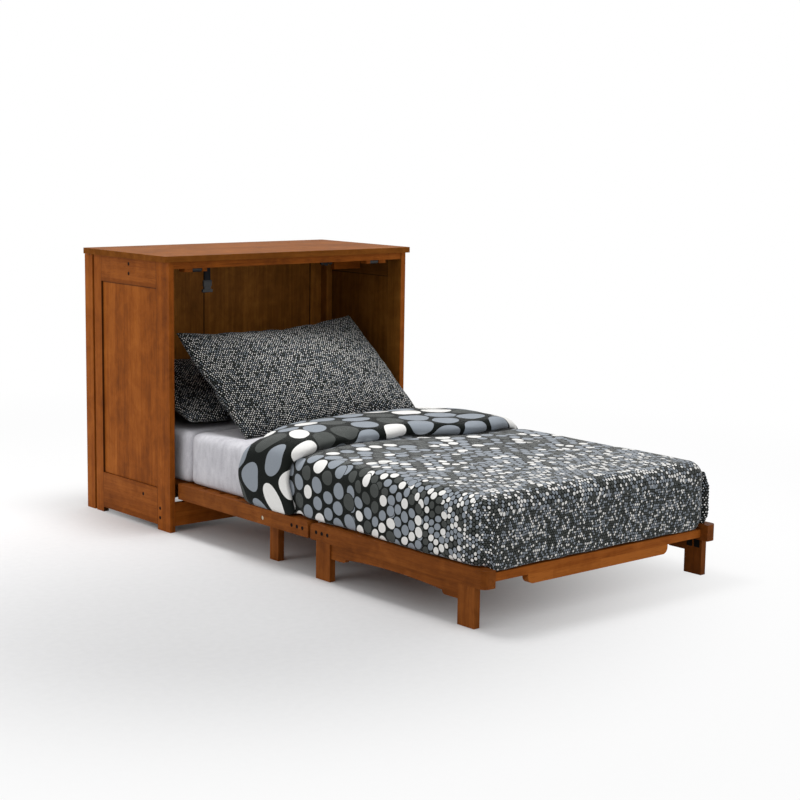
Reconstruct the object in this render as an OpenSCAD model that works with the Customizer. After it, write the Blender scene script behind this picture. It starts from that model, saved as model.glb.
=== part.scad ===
// Wall bed: a low cabinet whose folding bed frame opens out of its front.
// Units are millimetres. Z is up, the bed's foot points to -Y and the cabinet's back to +Y.
// Depths are counted from the cabinet's front plane, which lies at front_y.

/* [Cabinet] */
// Room between the mattress and each side
mat_room = 32.5; // [28:0.5:80]
// Height from the floor to the underside of the top
cab_h = 970; // [965:1:1100]
// Depth of the sides
cab_d = 504; // [480:1:640]
// Thickness of the stiles and rails of the sides
side_t = 21; // [18:1:26]
// Width of the front stiles
front_stile_w = 82; // [60:1:120]
// Width of the rear stiles
rear_stile_w = 50; // [36:1:80]
// Height of the sides' top rails
side_top_rail_h = 96; // [92:1:140]
// Height of the sides' bottom rails
side_low_rail_h = 134; // [110:1:160]
// Gap between the floor and the bottom rails
foot_gap = 18; // [8:1:40]
// Thickness of the side panels
side_panel_t = 9; // [6:1:12]
// Thickness of the top
top_t = 21; // [16:1:30]
// Overhang of the top at each side
top_side = 19; // [6:1:30]
// Overhang of the top at the front
top_front = 9; // [4:1:24]
// Overhang of the top behind the sides
top_rear = 50; // [30:1:66]
// Radius of the top's corners
top_corner_r = 9; // [4:1:14]
// Thickness of the back boards
back_t = 12; // [9:1:16]
// Depth of the recess behind the back boards
back_inset = 22; // [16:1:40]
// Width of the back's left board
back_left_w = 447; // [300:1:500]
// Width of the back's right board
back_right_w = 86; // [60:1:200]
// Gap of the grooves between the back boards
groove = 2; // [1:0.5:4]
// Width of the corner battens
batten_w = 28; // [14:1:30]
// Depth of the corner battens
batten_d = 37; // [14:1:40]
// Height of the rail under the top's front edge
front_rail_h = 25; // [20:1:32]
// Thickness of the rails across the cabinet
cross_t = 21; // [16:1:24]
// Distance of the front rail behind the front plane
front_rail_y = 3; // [2:1:6]
// Height of the rail under the top's middle
mid_rail_h = 35; // [24:1:40]
// Distance of the middle rail's centre behind the front plane
mid_rail_y = 264; // [262:1:330]
// Height of the blocks under the middle rail
mid_block_h = 42; // [20:1:50]
// Length of the blocks under the middle rail
mid_block_l = 133; // [60:1:180]
// Height of the toe rail
toe_h = 85; // [50:1:90]
// Distance of the toe rail behind the front plane
toe_y = 10; // [8:1:20]
// Number of slats inside the cabinet
deck_n = 4; // [3:1:5]
// Gap between the slats inside the cabinet
deck_gap = 10; // [4:1:30]
// Distance of the first slat inside the cabinet from the front plane
deck_y0 = 62; // [40:1:80]
// Height of the cleats under those slats
cleat_h = 30; // [20:1:40]
// Width of the cleats under those slats
cleat_w = 22; // [16:1:30]

/* [Stored front panel] */
// Gap between the sides and the panel stored behind them
store_gap = 13; // [8:1:24]
// Thickness of the front panel
front_t = 54; // [30:1:60]
// Gap between the front panel and the top
front_top_gap = 3; // [1:1:8]
// Width of the front panel's stiles
front_stile_in_w = 90; // [60:1:140]
// Height of the front panel's rails
front_rail_in_h = 110; // [60:1:160]
// Thickness of the front panel's field
front_field_t = 12; // [8:1:18]
// Height of the cleat that holds the front panel off the back
hanger_h = 60; // [40:1:90]
// Drop of that cleat below the front panel's top
hanger_drop = 30; // [10:1:60]
// Distance of that cleat's ends from the sides
hanger_set = 120; // [60:1:200]

/* [Bed frame] */
// Clearance between the bed rails and the cabinet's inside
bed_gap = 4; // [3:0.5:8]
// Height of the rails' top above the floor
deck_z = 178; // [176:1:184]
// Height of the rails
rail_h = 54; // [50:1:56]
// Width of the rails
rail_w = 45; // [40:1:50]
// Width of the rails' upstand beside the slats
rail_lip = 27; // [22:1:30]
// Length of the near section
near_l = 771.5; // [740:0.5:772]
// Gap between the two sections' rails
joint_gap = 13; // [10:0.5:16]
// Length of the far section
far_l = 817.5; // [790:0.5:830]
// Radius of the rails' top corners at the joint
joint_r = 18; // [10:1:24]
// Radius of the rails' outer corners in plan
plan_r = 20; // [8:1:24]
// Length of the rails' solid ends
rail_end = 45; // [34:1:60]
// Thickness of the slats
slat_t = 18; // [14:1:22]
// Number of slats in each section
slat_n = 7; // [5:1:8]
// Width of the slats
slat_w = 78; // [50:1:80]
// Thickness of the foot rail and of its board
foot_t = 25; // [18:1:30]
// Height of the foot rail
foot_rail_h = 26; // [20:1:30]
// Drop of the foot rail below the rails' top
foot_drop = 18; // [18:1:22]
// Distance of the foot rail's face behind the rails' ends
foot_set = 29; // [20:1:40]
// Height of the board under the foot rail
foot_board_h = 30; // [16:1:30]
// Half length of the board under the foot rail
foot_board_half = 316; // [200:1:340]
// Radius of that board's lower corners
foot_board_r = 22; // [4:1:24]

/* [Legs] */
// Thickness of the legs of the leg panels
leg_t = 22; // [18:1:22]
// Width of the legs of the leg panels
leg_w = 72; // [60:1:84]
// Distance of the first legs from the far section's head end
leg_first = 30.5; // [24:0.5:40]
// Distance of the last legs' faces from the far section's foot end
leg_last = 40; // [34:1:60]
// Set-back of the aprons behind the legs' faces
apron_set = 5; // [3:1:8]
// Depth of the aprons at their ends
apron_end_h = 48; // [40:1:52]
// Depth of the aprons at the middle of the arch
apron_mid_h = 26; // [20:1:26]
// Length of the aprons' flat ends
apron_flat = 62; // [30:1:66]
// Radius of the step into the arch
apron_cove = 12; // [6:1:14]
// Width of the middle legs
mid_leg_w = 47; // [40:1:56]
// Thickness of the middle legs
mid_leg_t = 24; // [20:1:24]
// Room between parts of the two sections when they are folded together
fold_room = 0.6; // [0.4:0.1:2]
// Distance of the middle legs' front faces from the cabinet
mid_leg_y = 519; // [500:1:560]
// Width of the rail that carries the middle legs
bearer_w = 66; // [60:1:80]

/* [Hinges and fittings] */
// Height of the head pivots above the floor
pivot_z = 130; // [129:0.5:131]
// Distance of the head pivots behind the front plane
pivot_y = 9; // [8:0.5:10]
// Radius of the head pivot pins
pivot_r = 4; // [3:0.5:5]
// Depth of the pivot bores in the stiles
pivot_depth = 12.5; // [8:0.5:15]
// Drop of the fold axis below the rails
fold_drop = 14.5; // [14:0.5:16]
// Radius of the fold pins
fold_r = 5; // [4:0.5:5.5]
// Thickness of the steel plates
plate_t = 3; // [2:0.5:4]
// Running clearance of pins in their bores
run = 0.05; // [0.02:0.01:0.1]
// Gap between parts that pass each other
pass = 0.3; // [0.2:0.1:0.5]
// Length of the leg hinges
hinge_l = 22; // [18:1:26]
// Distance between the two hinges of a leg
hinge_pitch = 31; // [28:1:34]
// Width of the hinge leaves
leaf_w = 20; // [14:1:20]
// Height of the leaves on the legs
leaf_h = 30; // [20:1:40]
// Thickness of the hinge leaves
leaf_t = 2; // [1.5:0.1:2]
// Radius of the hinge pins
hinge_pin_r = 1.3; // [1:0.1:1.4]
// Radius of the screw heads
screw_r = 6.5; // [4:0.5:8]
// Radius of the screw shanks
shank_r = 2.25; // [1.5:0.25:3]
// Height of the screw heads
screw_h = 3; // [2:0.5:4]
// Radius of the connector bolt heads
bolt_r = 7.5; // [5:0.5:9]
// Radius of the catch rollers
roller_r = 10; // [7:1:11]
// Length of the catch rollers
roller_l = 41; // [30:1:50]
// Height of the catch rollers' axis below the top
roller_drop = 31; // [30:1:32]
// Distance of the rollers' centres from the sides
roller_inset = 116.5; // [90:0.5:140]
// Radius of the roller pins
roller_pin_r = 3; // [2:0.5:4]
// Width of the straps
strap_w = 25; // [20:1:30]
// Thickness of the straps
strap_t = 1.8; // [1.2:0.1:2.4]
// Length of the left strap
strap_l = 74; // [50:1:90]
// Distance of the left strap from the left side
strap_inset = 184.5; // [182:0.5:230]
// Distance of the right strap from the right side
strap_right_inset = 179.5; // [168:0.5:230]
// Shortening of the right strap
strap_right_cut = 18; // [0:1:24]
// Width of the left strap's buckle
buckle_w = 34; // [28:1:40]
// Length of the left strap's buckle
buckle_l = 46; // [30:1:50]
// Width of the right strap's buckle, which lies on its side
buckle_right_w = 56; // [40:1:64]
// Height of the right strap's buckle
buckle_right_h = 16; // [12:1:24]
// Thickness of the buckles
buckle_t = 10; // [6:1:12]

/* [Soft goods] */
// Width of the mattress
mat_w = 990; // [940:1:1000]
// Thickness of the mattress
mat_h = 190; // [160:1:190]
// Distance of the mattress's first fold from the cabinet's front
fold_a = 42; // [41:1:50]
// Gap between the two outer parts of the mattress at their fold
fold_gap = 17; // [16:1:30]
// Distance of the mattress's foot end from the rails' ends
mat_foot = 45; // [43:1:60]
// Radius of the mattress's upper edges
mat_r = 50; // [40:1:60]
// Rise of the mattress's crown
mat_crown = 6; // [2:1:10]
// Thickness of the duvet
duvet_t = 13; // [8:1:14]
// Thickness that the turned-back cuff adds
cuff_t = 18; // [6:1:22]
// Length of the turned-back cuff
cuff_l = 420; // [200:1:460]
// Distance of the duvet's head edge from the cabinet's front, at the middle
duvet_y = 258; // [258:1:400]
// Turn of the duvet's head edge, in degrees
duvet_turn = 10; // [8:1:11]
// Slope of the duvet's head edge from upright, in degrees
duvet_slope = 30; // [10:1:40]
// Width of the pillows
pillow_w = 920; // [700:1:960]
// Length of the pillows
pillow_l = 480; // [420:1:500]
// Thickness of the pillows
pillow_t = 160; // [110:1:170]
// Lean of the front pillow, in degrees
front_tilt = 44; // [36:1:56]
// Turn of the front pillow, in degrees
front_turn = 10; // [0:1:12]
// Distance of the front pillow's middle before the cabinet's front
front_reach = 34; // [30:1:110]
// Lean of the back pillow, in degrees
back_tilt = 18; // [10:1:26]
// Distance of the back pillow's middle behind the cabinet's front
back_reach = 222; // [218:1:230]
// Settling of the front pillow on the mattress
front_sink = 1.7; // [0:0.1:1.9]
// Settling of the back pillow on the mattress
back_sink = 2; // [0:0.1:2.2]

/* [Hidden] */
$fn = 48;

wood = [0.56, 0.30, 0.13];
dark_wood = [0.40, 0.21, 0.09];
black = [0.09, 0.09, 0.10];
sheet_grey = [0.70, 0.70, 0.71];
dotted = [0.20, 0.20, 0.21];

// Places along the depth, from the cabinet's front plane
bed_reach = near_l + joint_gap + far_l;
cab_w = mat_w + 2 * (mat_room + side_t);
panel_y = cab_d + store_gap;
front_y = (bed_reach - panel_y - front_t) / 2;
in_w = cab_w - 2 * side_t;
rail_out = in_w / 2 - bed_gap;
rail_in = rail_out - rail_w;
rail_z = deck_z - rail_h;
slat_z = deck_z - slat_t;
far_y = -(near_l + joint_gap);
fold_y = -(near_l + joint_gap / 2);
fold_z = rail_z - fold_drop;
back_y = cab_d - back_inset - back_t;
side_open_h = cab_h - side_top_rail_h - side_low_rail_h - foot_gap;
side_open_d = cab_d - front_stile_w - rear_stile_w;
leaf_drop = leaf_t + pass;
leg_face = rail_out - leg_t;
mid_face = leg_face - (apron_end_h - apron_cove) - fold_room;
leg_a = far_y - leg_first;
leg_b = -bed_reach + leg_last + leg_w;
leg_top = rail_z - pass;
clear_t = 0.3;
eps = 0.01;

// Screws through the sides: depth behind the front plane and height
side_screw_at = [[mid_rail_y, cab_h - 22], [mid_rail_y, cab_h - 57], [178, 115], [66, 80], [66, 45]];
// Screws through the bed rails at the joint: distance from the rails' ends
plate_screw_at = [30, 59, 88];
plate_screw_z = rail_z + rail_h / 2;
bolt_y = -mid_leg_y - 2;
bolt_z = rail_z + 22;

// Frames for the modules below
module at_front() { translate([0, front_y, 0]) children(); }
module both_sides() { children(); mirror([1, 0, 0]) children(); }
module on_left() { mirror([1, 0, 0]) children(); }
module along_x(x, y, z) { translate([x, y, z]) rotate([0, 90, 0]) children(); }
module along_y(x, y, z) { translate([x, y, z]) rotate([-90, 0, 0]) children(); }
module block(x0, x1, y0, y1, z0, z1) { translate([x0, y0, z0]) cube([x1 - x0, y1 - y0, z1 - z0]); }

// Screw with its axis along X, head outward at x = face, and the hole that takes it
module screw(face, y, z, length) {
    along_x(face - screw_h, y, z) cylinder(r = screw_r, h = screw_h - 0.5);
    along_x(face - length, y, z) cylinder(r = shank_r, h = length - screw_h);
}
module screw_hole(face, y, z, length) {
    along_x(face - screw_h, y, z) cylinder(r = screw_r + run, h = screw_h + 1);
    along_x(face - length - 1, y, z) cylinder(r = shank_r + run, h = length);
}

// Ring of points on a rounded rectangle
function ring(w, l, r, z, n = 8) = [
    for (q = [0:3], k = [0:n - 1])
        let (a = 90 * q + 90 * k / (n - 1), sx = (q == 0 || q == 3) ? 1 : -1, sy = q < 2 ? 1 : -1)
        [sx * (w / 2 - r) + r * cos(a), sy * (l / 2 - r) + r * sin(a), z]
];
module loft(rings) {
    m = len(rings[0]);
    last = len(rings) - 1;
    points = [for (r = rings, p = r) p];
    faces = concat(
        [for (k = [1:m - 2]) [0, k, k + 1]],
        [for (j = [0:last - 1], k = [0:m - 1]) [j * m + k, (j + 1) * m + k, j * m + (k + 1) % m]],
        [for (j = [0:last - 1], k = [0:m - 1])
            [j * m + (k + 1) % m, (j + 1) * m + k, (j + 1) * m + (k + 1) % m]],
        [for (k = [1:m - 2]) [last * m, last * m + k + 1, last * m + k]]
    );
    polyhedron(points, faces);
}
// Padded block: rounded base and upper edges and a crowned top
module soft_block(w, l, h, corner_r, edge_r, base_r, crown, n = 8) {
    low = [for (a = [-90:30:0]) [base_r * (1 - cos(a)), base_r * (1 + sin(a))]];
    high = [for (a = [0:22.5:90]) [edge_r * (1 - cos(a)), h - edge_r + edge_r * sin(a)]];
    top = [for (t = [0.25:0.25:0.75]) [edge_r + t * (min(w, l) / 2 - edge_r), h + crown * sin(90 * t)]];
    loft([for (s = concat(low, high, top))
        ring(w - 2 * s[0], l - 2 * s[0], max(corner_r - s[0], 3), s[1], n)]);
}
// Pillow: two crowned faces that meet in a seam, with sides drawn in between the corners
draw = 0.07;
seam_t = 2;
function crown(t, k) = t / 2 * pow(k, 0.42);
// Drop of a leaning pillow's lowest point below its middle
function pillow_drop(l, t, tilt) = max([for (v = [0:0.05:1])
    l / 2 * v * (1 - draw) * sin(tilt) + (crown(t, 1 - v * v) + seam_t) * cos(tilt)]);
module pillow_form(w, l, t, n = 16) {
    function seam(u, v) = [w / 2 * u * (1 - draw * (1 - v * v)), l / 2 * v * (1 - draw * (1 - u * u))];
    function rise(u, v) = crown(t, (1 - u * u) * (1 - v * v)) + seam_t;
    function at(i) = -cos(180 * i / n);
    m = n + 1;
    upper = [for (i = [0:n], j = [0:n]) let (s = seam(at(i), at(j))) [s[0], s[1], rise(at(i), at(j))]];
    lower = [for (i = [0:n], j = [0:n]) let (s = seam(at(i), at(j))) [s[0], s[1], -rise(at(i), at(j))]];
    rim = concat([for (i = [0:n - 1]) i * m], [for (j = [0:n - 1]) n * m + j],
        [for (i = [n:-1:1]) i * m + n], [for (j = [n:-1:1]) j]);
    q = len(rim);
    o = m * m;
    faces = concat(
        [for (i = [0:n - 1], j = [0:n - 1]) [i * m + j, i * m + j + 1, (i + 1) * m + j]],
        [for (i = [0:n - 1], j = [0:n - 1]) [i * m + j + 1, (i + 1) * m + j + 1, (i + 1) * m + j]],
        [for (i = [0:n - 1], j = [0:n - 1]) [o + i * m + j, o + (i + 1) * m + j, o + i * m + j + 1]],
        [for (i = [0:n - 1], j = [0:n - 1]) [o + i * m + j + 1, o + (i + 1) * m + j, o + (i + 1) * m + j + 1]],
        [for (k = [0:q - 1]) [rim[k], rim[(k + 1) % q], o + rim[k]]],
        [for (k = [0:q - 1]) [rim[(k + 1) % q], o + rim[(k + 1) % q], o + rim[k]]]
    );
    polyhedron(concat(upper, lower), faces);
}

// Cabinet

module top_panel() {
    r = top_corner_r;
    x = cab_w / 2 + top_side;
    y0 = -top_front;
    y1 = cab_d + top_rear;
    color(wood) at_front() union() {
        block(-x + r, x - r, y0, y1, cab_h, cab_h + top_t);
        block(-x, x, y0 + r, y1 - r, cab_h, cab_h + top_t);
        for (sx = [-x + r, x - r], sy = [y0 + r, y1 - r]) translate([sx, sy, cab_h]) cylinder(r = r, h = top_t);
    }
}
module stiles() {
    x1 = cab_w / 2;
    x0 = x1 - side_t;
    color(wood) at_front() difference() {
        union() {
            block(x0, x1, 0, front_stile_w, 0, cab_h);
            block(x0, x1, cab_d - rear_stile_w, cab_d, 0, cab_h);
        }
        along_x(x0 - 1, pivot_y, pivot_z) cylinder(r = pivot_r + run, h = pivot_depth + 1);
        for (s = side_screw_at) if (s[0] < front_stile_w) screw_hole(x1, s[0], s[1], side_t - 2);
    }
}
module left_stiles() { on_left() stiles(); }
module right_stiles() { stiles(); }
module side_rails() {
    x1 = cab_w / 2;
    y0 = front_stile_w;
    y1 = cab_d - rear_stile_w;
    color(wood) at_front() difference() {
        union() {
            block(x1 - side_t, x1, y0, y1, cab_h - side_top_rail_h, cab_h);
            block(x1 - side_t, x1, y0, y1, foot_gap, foot_gap + side_low_rail_h);
        }
        for (s = side_screw_at) if (s[0] > front_stile_w) screw_hole(x1, s[0], s[1], side_t - 2);
    }
}
module left_rails() { on_left() side_rails(); }
module right_rails() { side_rails(); }
module side_field() {
    x0 = cab_w / 2 - (side_t + side_panel_t) / 2;
    color(wood) at_front() translate([x0, front_stile_w, foot_gap + side_low_rail_h])
        cube([side_panel_t, side_open_d, side_open_h]);
}
module left_panel() { on_left() side_field(); }
module right_panel() { side_field(); }
module back_boards() {
    x0 = -in_w / 2;
    x1 = x0 + back_left_w;
    x2 = in_w / 2 - back_right_w;
    spans = [[x0, x1 - groove / 2], [x1 + groove / 2, x2 - groove / 2], [x2 + groove / 2, in_w / 2]];
    color(dark_wood) at_front() for (s = spans) block(s[0], s[1], back_y, back_y + back_t, foot_gap, cab_h);
}
module back_battens() {
    color(wood) at_front() both_sides()
        block(in_w / 2 - batten_w, in_w / 2, back_y - batten_d, back_y, foot_gap, cab_h);
}
module hanger_rail() {
    z1 = cab_h - front_top_gap - hanger_drop;
    x = in_w / 2 - hanger_set;
    color(dark_wood) at_front()
        block(-x, x, back_y + back_t, panel_y - clear_t, z1 - hanger_h, z1);
}
module front_top_rail() {
    color(wood) at_front()
        block(-in_w / 2, in_w / 2, front_rail_y, front_rail_y + cross_t, cab_h - front_rail_h, cab_h);
}
module mid_rail() {
    y0 = mid_rail_y - cross_t / 2;
    color(wood) at_front() block(-in_w / 2, in_w / 2, y0, y0 + cross_t, cab_h - mid_rail_h, cab_h);
}
module mid_rail_blocks() {
    y0 = mid_rail_y - cross_t / 2;
    z1 = cab_h - mid_rail_h;
    color(wood) at_front() both_sides()
        block(in_w / 2 - mid_block_l, in_w / 2, y0, y0 + cross_t, z1 - mid_block_h, z1);
}
module toe_rail() {
    color(dark_wood) at_front() block(-in_w / 2, in_w / 2, toe_y, toe_y + cross_t - 3, 20, 20 + toe_h);
}
deck_y1 = back_y - batten_d - 3;
module deck_slats() {
    w = (deck_y1 - deck_y0 - (deck_n - 1) * deck_gap) / deck_n;
    color(wood) at_front() for (k = [0:deck_n - 1]) {
        y = deck_y0 + k * (w + deck_gap);
        block(-in_w / 2 + 0.5, in_w / 2 - 0.5, y, y + w, slat_z, deck_z);
    }
}
module deck_cleats() {
    color(dark_wood) at_front() both_sides()
        block(in_w / 2 - cleat_w, in_w / 2, deck_y0, deck_y1, slat_z - cleat_h, slat_z);
}
catch_y0 = front_rail_y + cross_t;
catch_depth = 34;
roller_x = in_w / 2 - roller_inset;
roller_y = catch_y0 + roller_r + 2;
roller_z = cab_h - roller_drop;
cheek_z = roller_z - 8;
outer_cheek = 34;
inner_cheek = 19;
module catch_cheeks() {
    a = roller_x - roller_l / 2 - 1;
    b = roller_x + roller_l / 2 + 1;
    color(wood) at_front() difference() {
        union() {
            block(a - inner_cheek, a, catch_y0, catch_y0 + catch_depth, cheek_z, cab_h);
            block(b, b + outer_cheek, catch_y0, catch_y0 + catch_depth, cheek_z, cab_h);
        }
        along_x(a - inner_cheek + 4, roller_y, roller_z) cylinder(r = roller_pin_r + run, h = b - a + 40);
    }
}
module catch_left() { on_left() catch_cheeks(); }
module catch_right() { catch_cheeks(); }
module roller_pins() {
    color(black) at_front() both_sides()
        along_x(roller_x - roller_l / 2 - 12, roller_y, roller_z) cylinder(r = roller_pin_r, h = roller_l + 24);
}
module roller() {
    color(black) at_front() along_x(roller_x - roller_l / 2, roller_y, roller_z) difference() {
        cylinder(r = roller_r, h = roller_l);
        translate([0, 0, -1]) cylinder(r = roller_pin_r + run, h = roller_l + 2);
    }
}
module roller_left() { on_left() roller(); }
module roller_right() { roller(); }
// The left strap hangs behind the catch, the right one in front of the middle rail
strap_y = catch_y0 + catch_depth + 4;
strap_x = strap_inset - in_w / 2;
strap_right_x = in_w / 2 - strap_right_inset;
strap_right_l = strap_l - strap_right_cut;
strap_right_y = mid_rail_y - cross_t / 2 - 4;
module straps() {
    color(black) at_front() {
        translate([strap_x - strap_w / 2, strap_y, cab_h - strap_l]) cube([strap_w, strap_t, strap_l]);
        translate([strap_right_x - strap_w / 2, strap_right_y, cab_h - strap_right_l])
            cube([strap_w, strap_t, strap_right_l]);
    }
}
module buckle(w, l) {
    translate([-w / 2, -buckle_t / 2, -l]) union() {
        cube([w, buckle_t, l * 0.45]);
        translate([w * 0.1, 0, l * 0.45]) cube([w * 0.8, buckle_t, l * 0.55]);
    }
}
module buckles() {
    color(black) at_front() {
        translate([strap_x, strap_y + strap_t / 2, cab_h - strap_l]) buckle(buckle_w, buckle_l);
        translate([strap_right_x, strap_right_y + strap_t / 2 - 3, cab_h - strap_right_l])
            buckle(buckle_right_w, buckle_right_h);
    }
}
module side_screws() {
    color(black) at_front() both_sides() for (s = side_screw_at) screw(cab_w / 2, s[0], s[1], side_t - 2);
}

// Front panel, stored upright behind the cabinet

front_z1 = cab_h - front_top_gap;
module front_panel_stiles() {
    x1 = cab_w / 2;
    color(wood) at_front() both_sides()
        block(x1 - front_stile_in_w, x1, panel_y, panel_y + front_t, 0, front_z1);
}
module front_panel_rails() {
    x1 = cab_w / 2 - front_stile_in_w;
    color(wood) at_front() {
        block(-x1, x1, panel_y, panel_y + front_t, front_z1 - front_rail_in_h, front_z1);
        block(-x1, x1, panel_y, panel_y + front_t, foot_gap, foot_gap + front_rail_in_h);
    }
}
module front_panel_field() {
    x1 = cab_w / 2 - front_stile_in_w;
    y0 = panel_y + (front_t - front_field_t) / 2;
    color(wood) at_front()
        block(-x1, x1, y0, y0 + front_field_t, foot_gap + front_rail_in_h, front_z1 - front_rail_in_h);
}

// Bed frame, modelled on the right side

// Rail with a rebate for the slats, a corner rounded in plan at one end and one rounded upward at the other
module bed_rail(y_plan, y_joint) {
    lo = min(y_plan, y_joint);
    hi = max(y_plan, y_joint);
    sp = y_plan > y_joint ? 1 : -1;
    difference() {
        block(rail_in, rail_out, lo, hi, rail_z, deck_z);
        block(rail_in - 1, rail_out - rail_lip, lo + rail_end, hi - rail_end, slat_z, deck_z + 1);
        difference() {
            translate([rail_out - plan_r / 2 + 0.5, y_plan - sp * (plan_r / 2 - 0.5), deck_z - rail_h / 2])
                cube([plan_r + 1, plan_r + 1, rail_h + 2], center = true);
            translate([rail_out - plan_r, y_plan - sp * plan_r, rail_z - 2]) cylinder(r = plan_r, h = rail_h + 4);
        }
        difference() {
            translate([rail_out - rail_w / 2, y_joint + sp * (joint_r / 2 - 0.5), deck_z - joint_r / 2 + 0.5])
                cube([rail_w + 2, joint_r + 1, joint_r + 1], center = true);
            along_x(rail_in - 2, y_joint + sp * joint_r, deck_z - joint_r) cylinder(r = joint_r, h = rail_w + 4);
        }
    }
}
module near_rail() {
    color(wood) at_front() difference() {
        bed_rail(0, -near_l);
        for (d = plate_screw_at) screw_hole(rail_out, -near_l + d, plate_screw_z, rail_w - 3);
        along_x(rail_out - 6, bolt_y, bolt_z) cylinder(r = bolt_r + run, h = 8);
        along_x(rail_in - 1, bolt_y, bolt_z) cylinder(r = bolt_r / 2 + run, h = rail_w);
    }
}
module near_rail_left() { on_left() near_rail(); }
module near_rail_right() { near_rail(); }
module far_rail() {
    color(wood) at_front() difference() {
        bed_rail(-bed_reach, far_y);
        for (d = plate_screw_at) screw_hole(rail_out, far_y - d, plate_screw_z, rail_w - 3);
    }
}
module far_rail_left() { on_left() far_rail(); }
module far_rail_right() { far_rail(); }
module near_cross_rails() {
    x1 = rail_in - plate_t - clear_t;
    color(wood) at_front() {
        block(-x1, x1, -24, -2, rail_z, deck_z);
        difference() {
            block(-rail_in, rail_in, -mid_leg_y - mid_leg_w, -mid_leg_y - mid_leg_w + bearer_w, rail_z, slat_z);
            both_sides() along_x(rail_in - 34, bolt_y, bolt_z) cylinder(r = bolt_r / 2 + run, h = 40);
        }
    }
}
module slats(y_hi, y_lo) {
    x1 = rail_out - rail_lip - 0.5;
    gap = (y_hi - y_lo - slat_n * slat_w) / (slat_n - 1);
    for (k = [0:slat_n - 1]) {
        y = y_lo + k * (slat_w + gap);
        block(-x1, x1, y, y + slat_w, slat_z, deck_z);
    }
}
module near_slats() { color(wood) at_front() slats(-rail_end - 2, -near_l + rail_end + 2); }
module far_slats() { color(wood) at_front() slats(far_y - rail_end - 2, -bed_reach + foot_set + foot_t + 12); }
arm_l = 70;
arm_low = 7;
module pivot_arms() {
    color(black) at_front() both_sides() {
        block(rail_in - plate_t, rail_in, -arm_l, pivot_y, pivot_z - arm_low, pivot_z + 2 * arm_low);
        along_x(rail_in - plate_t, pivot_y, pivot_z) cylinder(r = arm_low, h = plate_t);
        along_x(rail_in - plate_t, pivot_y, pivot_z)
            cylinder(r = pivot_r, h = in_w / 2 - rail_in + plate_t + pivot_depth - 0.5);
        along_x(rail_out + pass, pivot_y, pivot_z) cylinder(r = arm_low, h = bed_gap - 2 * pass);
    }
}
ear_r = 7;
plate_l = 104;
plate_h = 28;
module near_hinge_plates() {
    x0 = rail_in - plate_t;
    z0 = slat_z - plate_h - 2;
    color(black) at_front() both_sides() {
        block(x0, rail_in, -near_l, -near_l + plate_l, z0, z0 + plate_h);
        block(x0, rail_in, fold_y - ear_r, -near_l + 12, fold_z, z0 + plate_h);
        along_x(x0, fold_y, fold_z) cylinder(r = ear_r, h = plate_t);
        along_x(x0 - plate_t - 2 * pass, fold_y, fold_z) cylinder(r = fold_r, h = plate_t + 2 * pass + 1);
        along_x(x0 - plate_t - 2 * pass - 3, fold_y, fold_z) cylinder(r = fold_r + 3, h = 3);
    }
}
module far_hinge_plates() {
    x0 = rail_in - plate_t;
    ear_y = leg_a + fold_room + 1;
    z0 = slat_z - plate_h - 2;
    color(black) at_front() both_sides() difference() {
        union() {
            block(x0, rail_in, far_y - plate_l, far_y - 6, z0, z0 + plate_h);
            block(x0 - plate_t - pass, x0 - pass, ear_y, fold_y, fold_z, z0 + plate_h);
            block(x0 - pass - 1, x0 + 1, ear_y, far_y - 8, z0, z0 + plate_h);
            along_x(x0 - plate_t - pass, fold_y, fold_z) cylinder(r = ear_r, h = plate_t);
        }
        along_x(x0 - plate_t - 2, fold_y, fold_z) cylinder(r = fold_r + run, h = plate_t + 4);
    }
}
module near_screws() {
    color(black) at_front() both_sides()
        for (d = plate_screw_at) screw(rail_out, -near_l + d, plate_screw_z, rail_w - 3);
}
module far_screws() {
    color(black) at_front() both_sides()
        for (d = plate_screw_at) screw(rail_out, far_y - d, plate_screw_z, rail_w - 3);
}
module near_bolts() {
    color([0.78, 0.74, 0.66]) at_front() both_sides() {
        along_x(rail_out - 6, bolt_y, bolt_z) cylinder(r = bolt_r, h = 4);
        along_x(rail_in - 30, bolt_y, bolt_z) cylinder(r = bolt_r / 2, h = rail_w + 30 - 6);
    }
}
module foot_rail() {
    y0 = -bed_reach + foot_set;
    z1 = deck_z - foot_drop;
    color(wood) at_front() block(-rail_in, rail_in, y0, y0 + foot_t, z1 - foot_rail_h, z1);
}
module foot_board() {
    y0 = -bed_reach + foot_set;
    z1 = deck_z - foot_drop - foot_rail_h;
    z0 = z1 - foot_board_h;
    x = foot_board_half;
    r = foot_board_r;
    color(wood) at_front() intersection() {
        block(-x, x, y0, y0 + foot_t, z0, z1);
        union() {
            block(-x, x, y0, y0 + foot_t, z0 + r, z1);
            block(-x + r, x - r, y0, y0 + foot_t, z0, z1);
            for (sx = [-1, 1]) along_y(sx * (x - r), y0, z0 + r) cylinder(r = r, h = foot_t);
        }
    }
}

// Leg hinges: the axis lies at (face - leaf_drop, rail_z - leaf_drop), along Y

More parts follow.
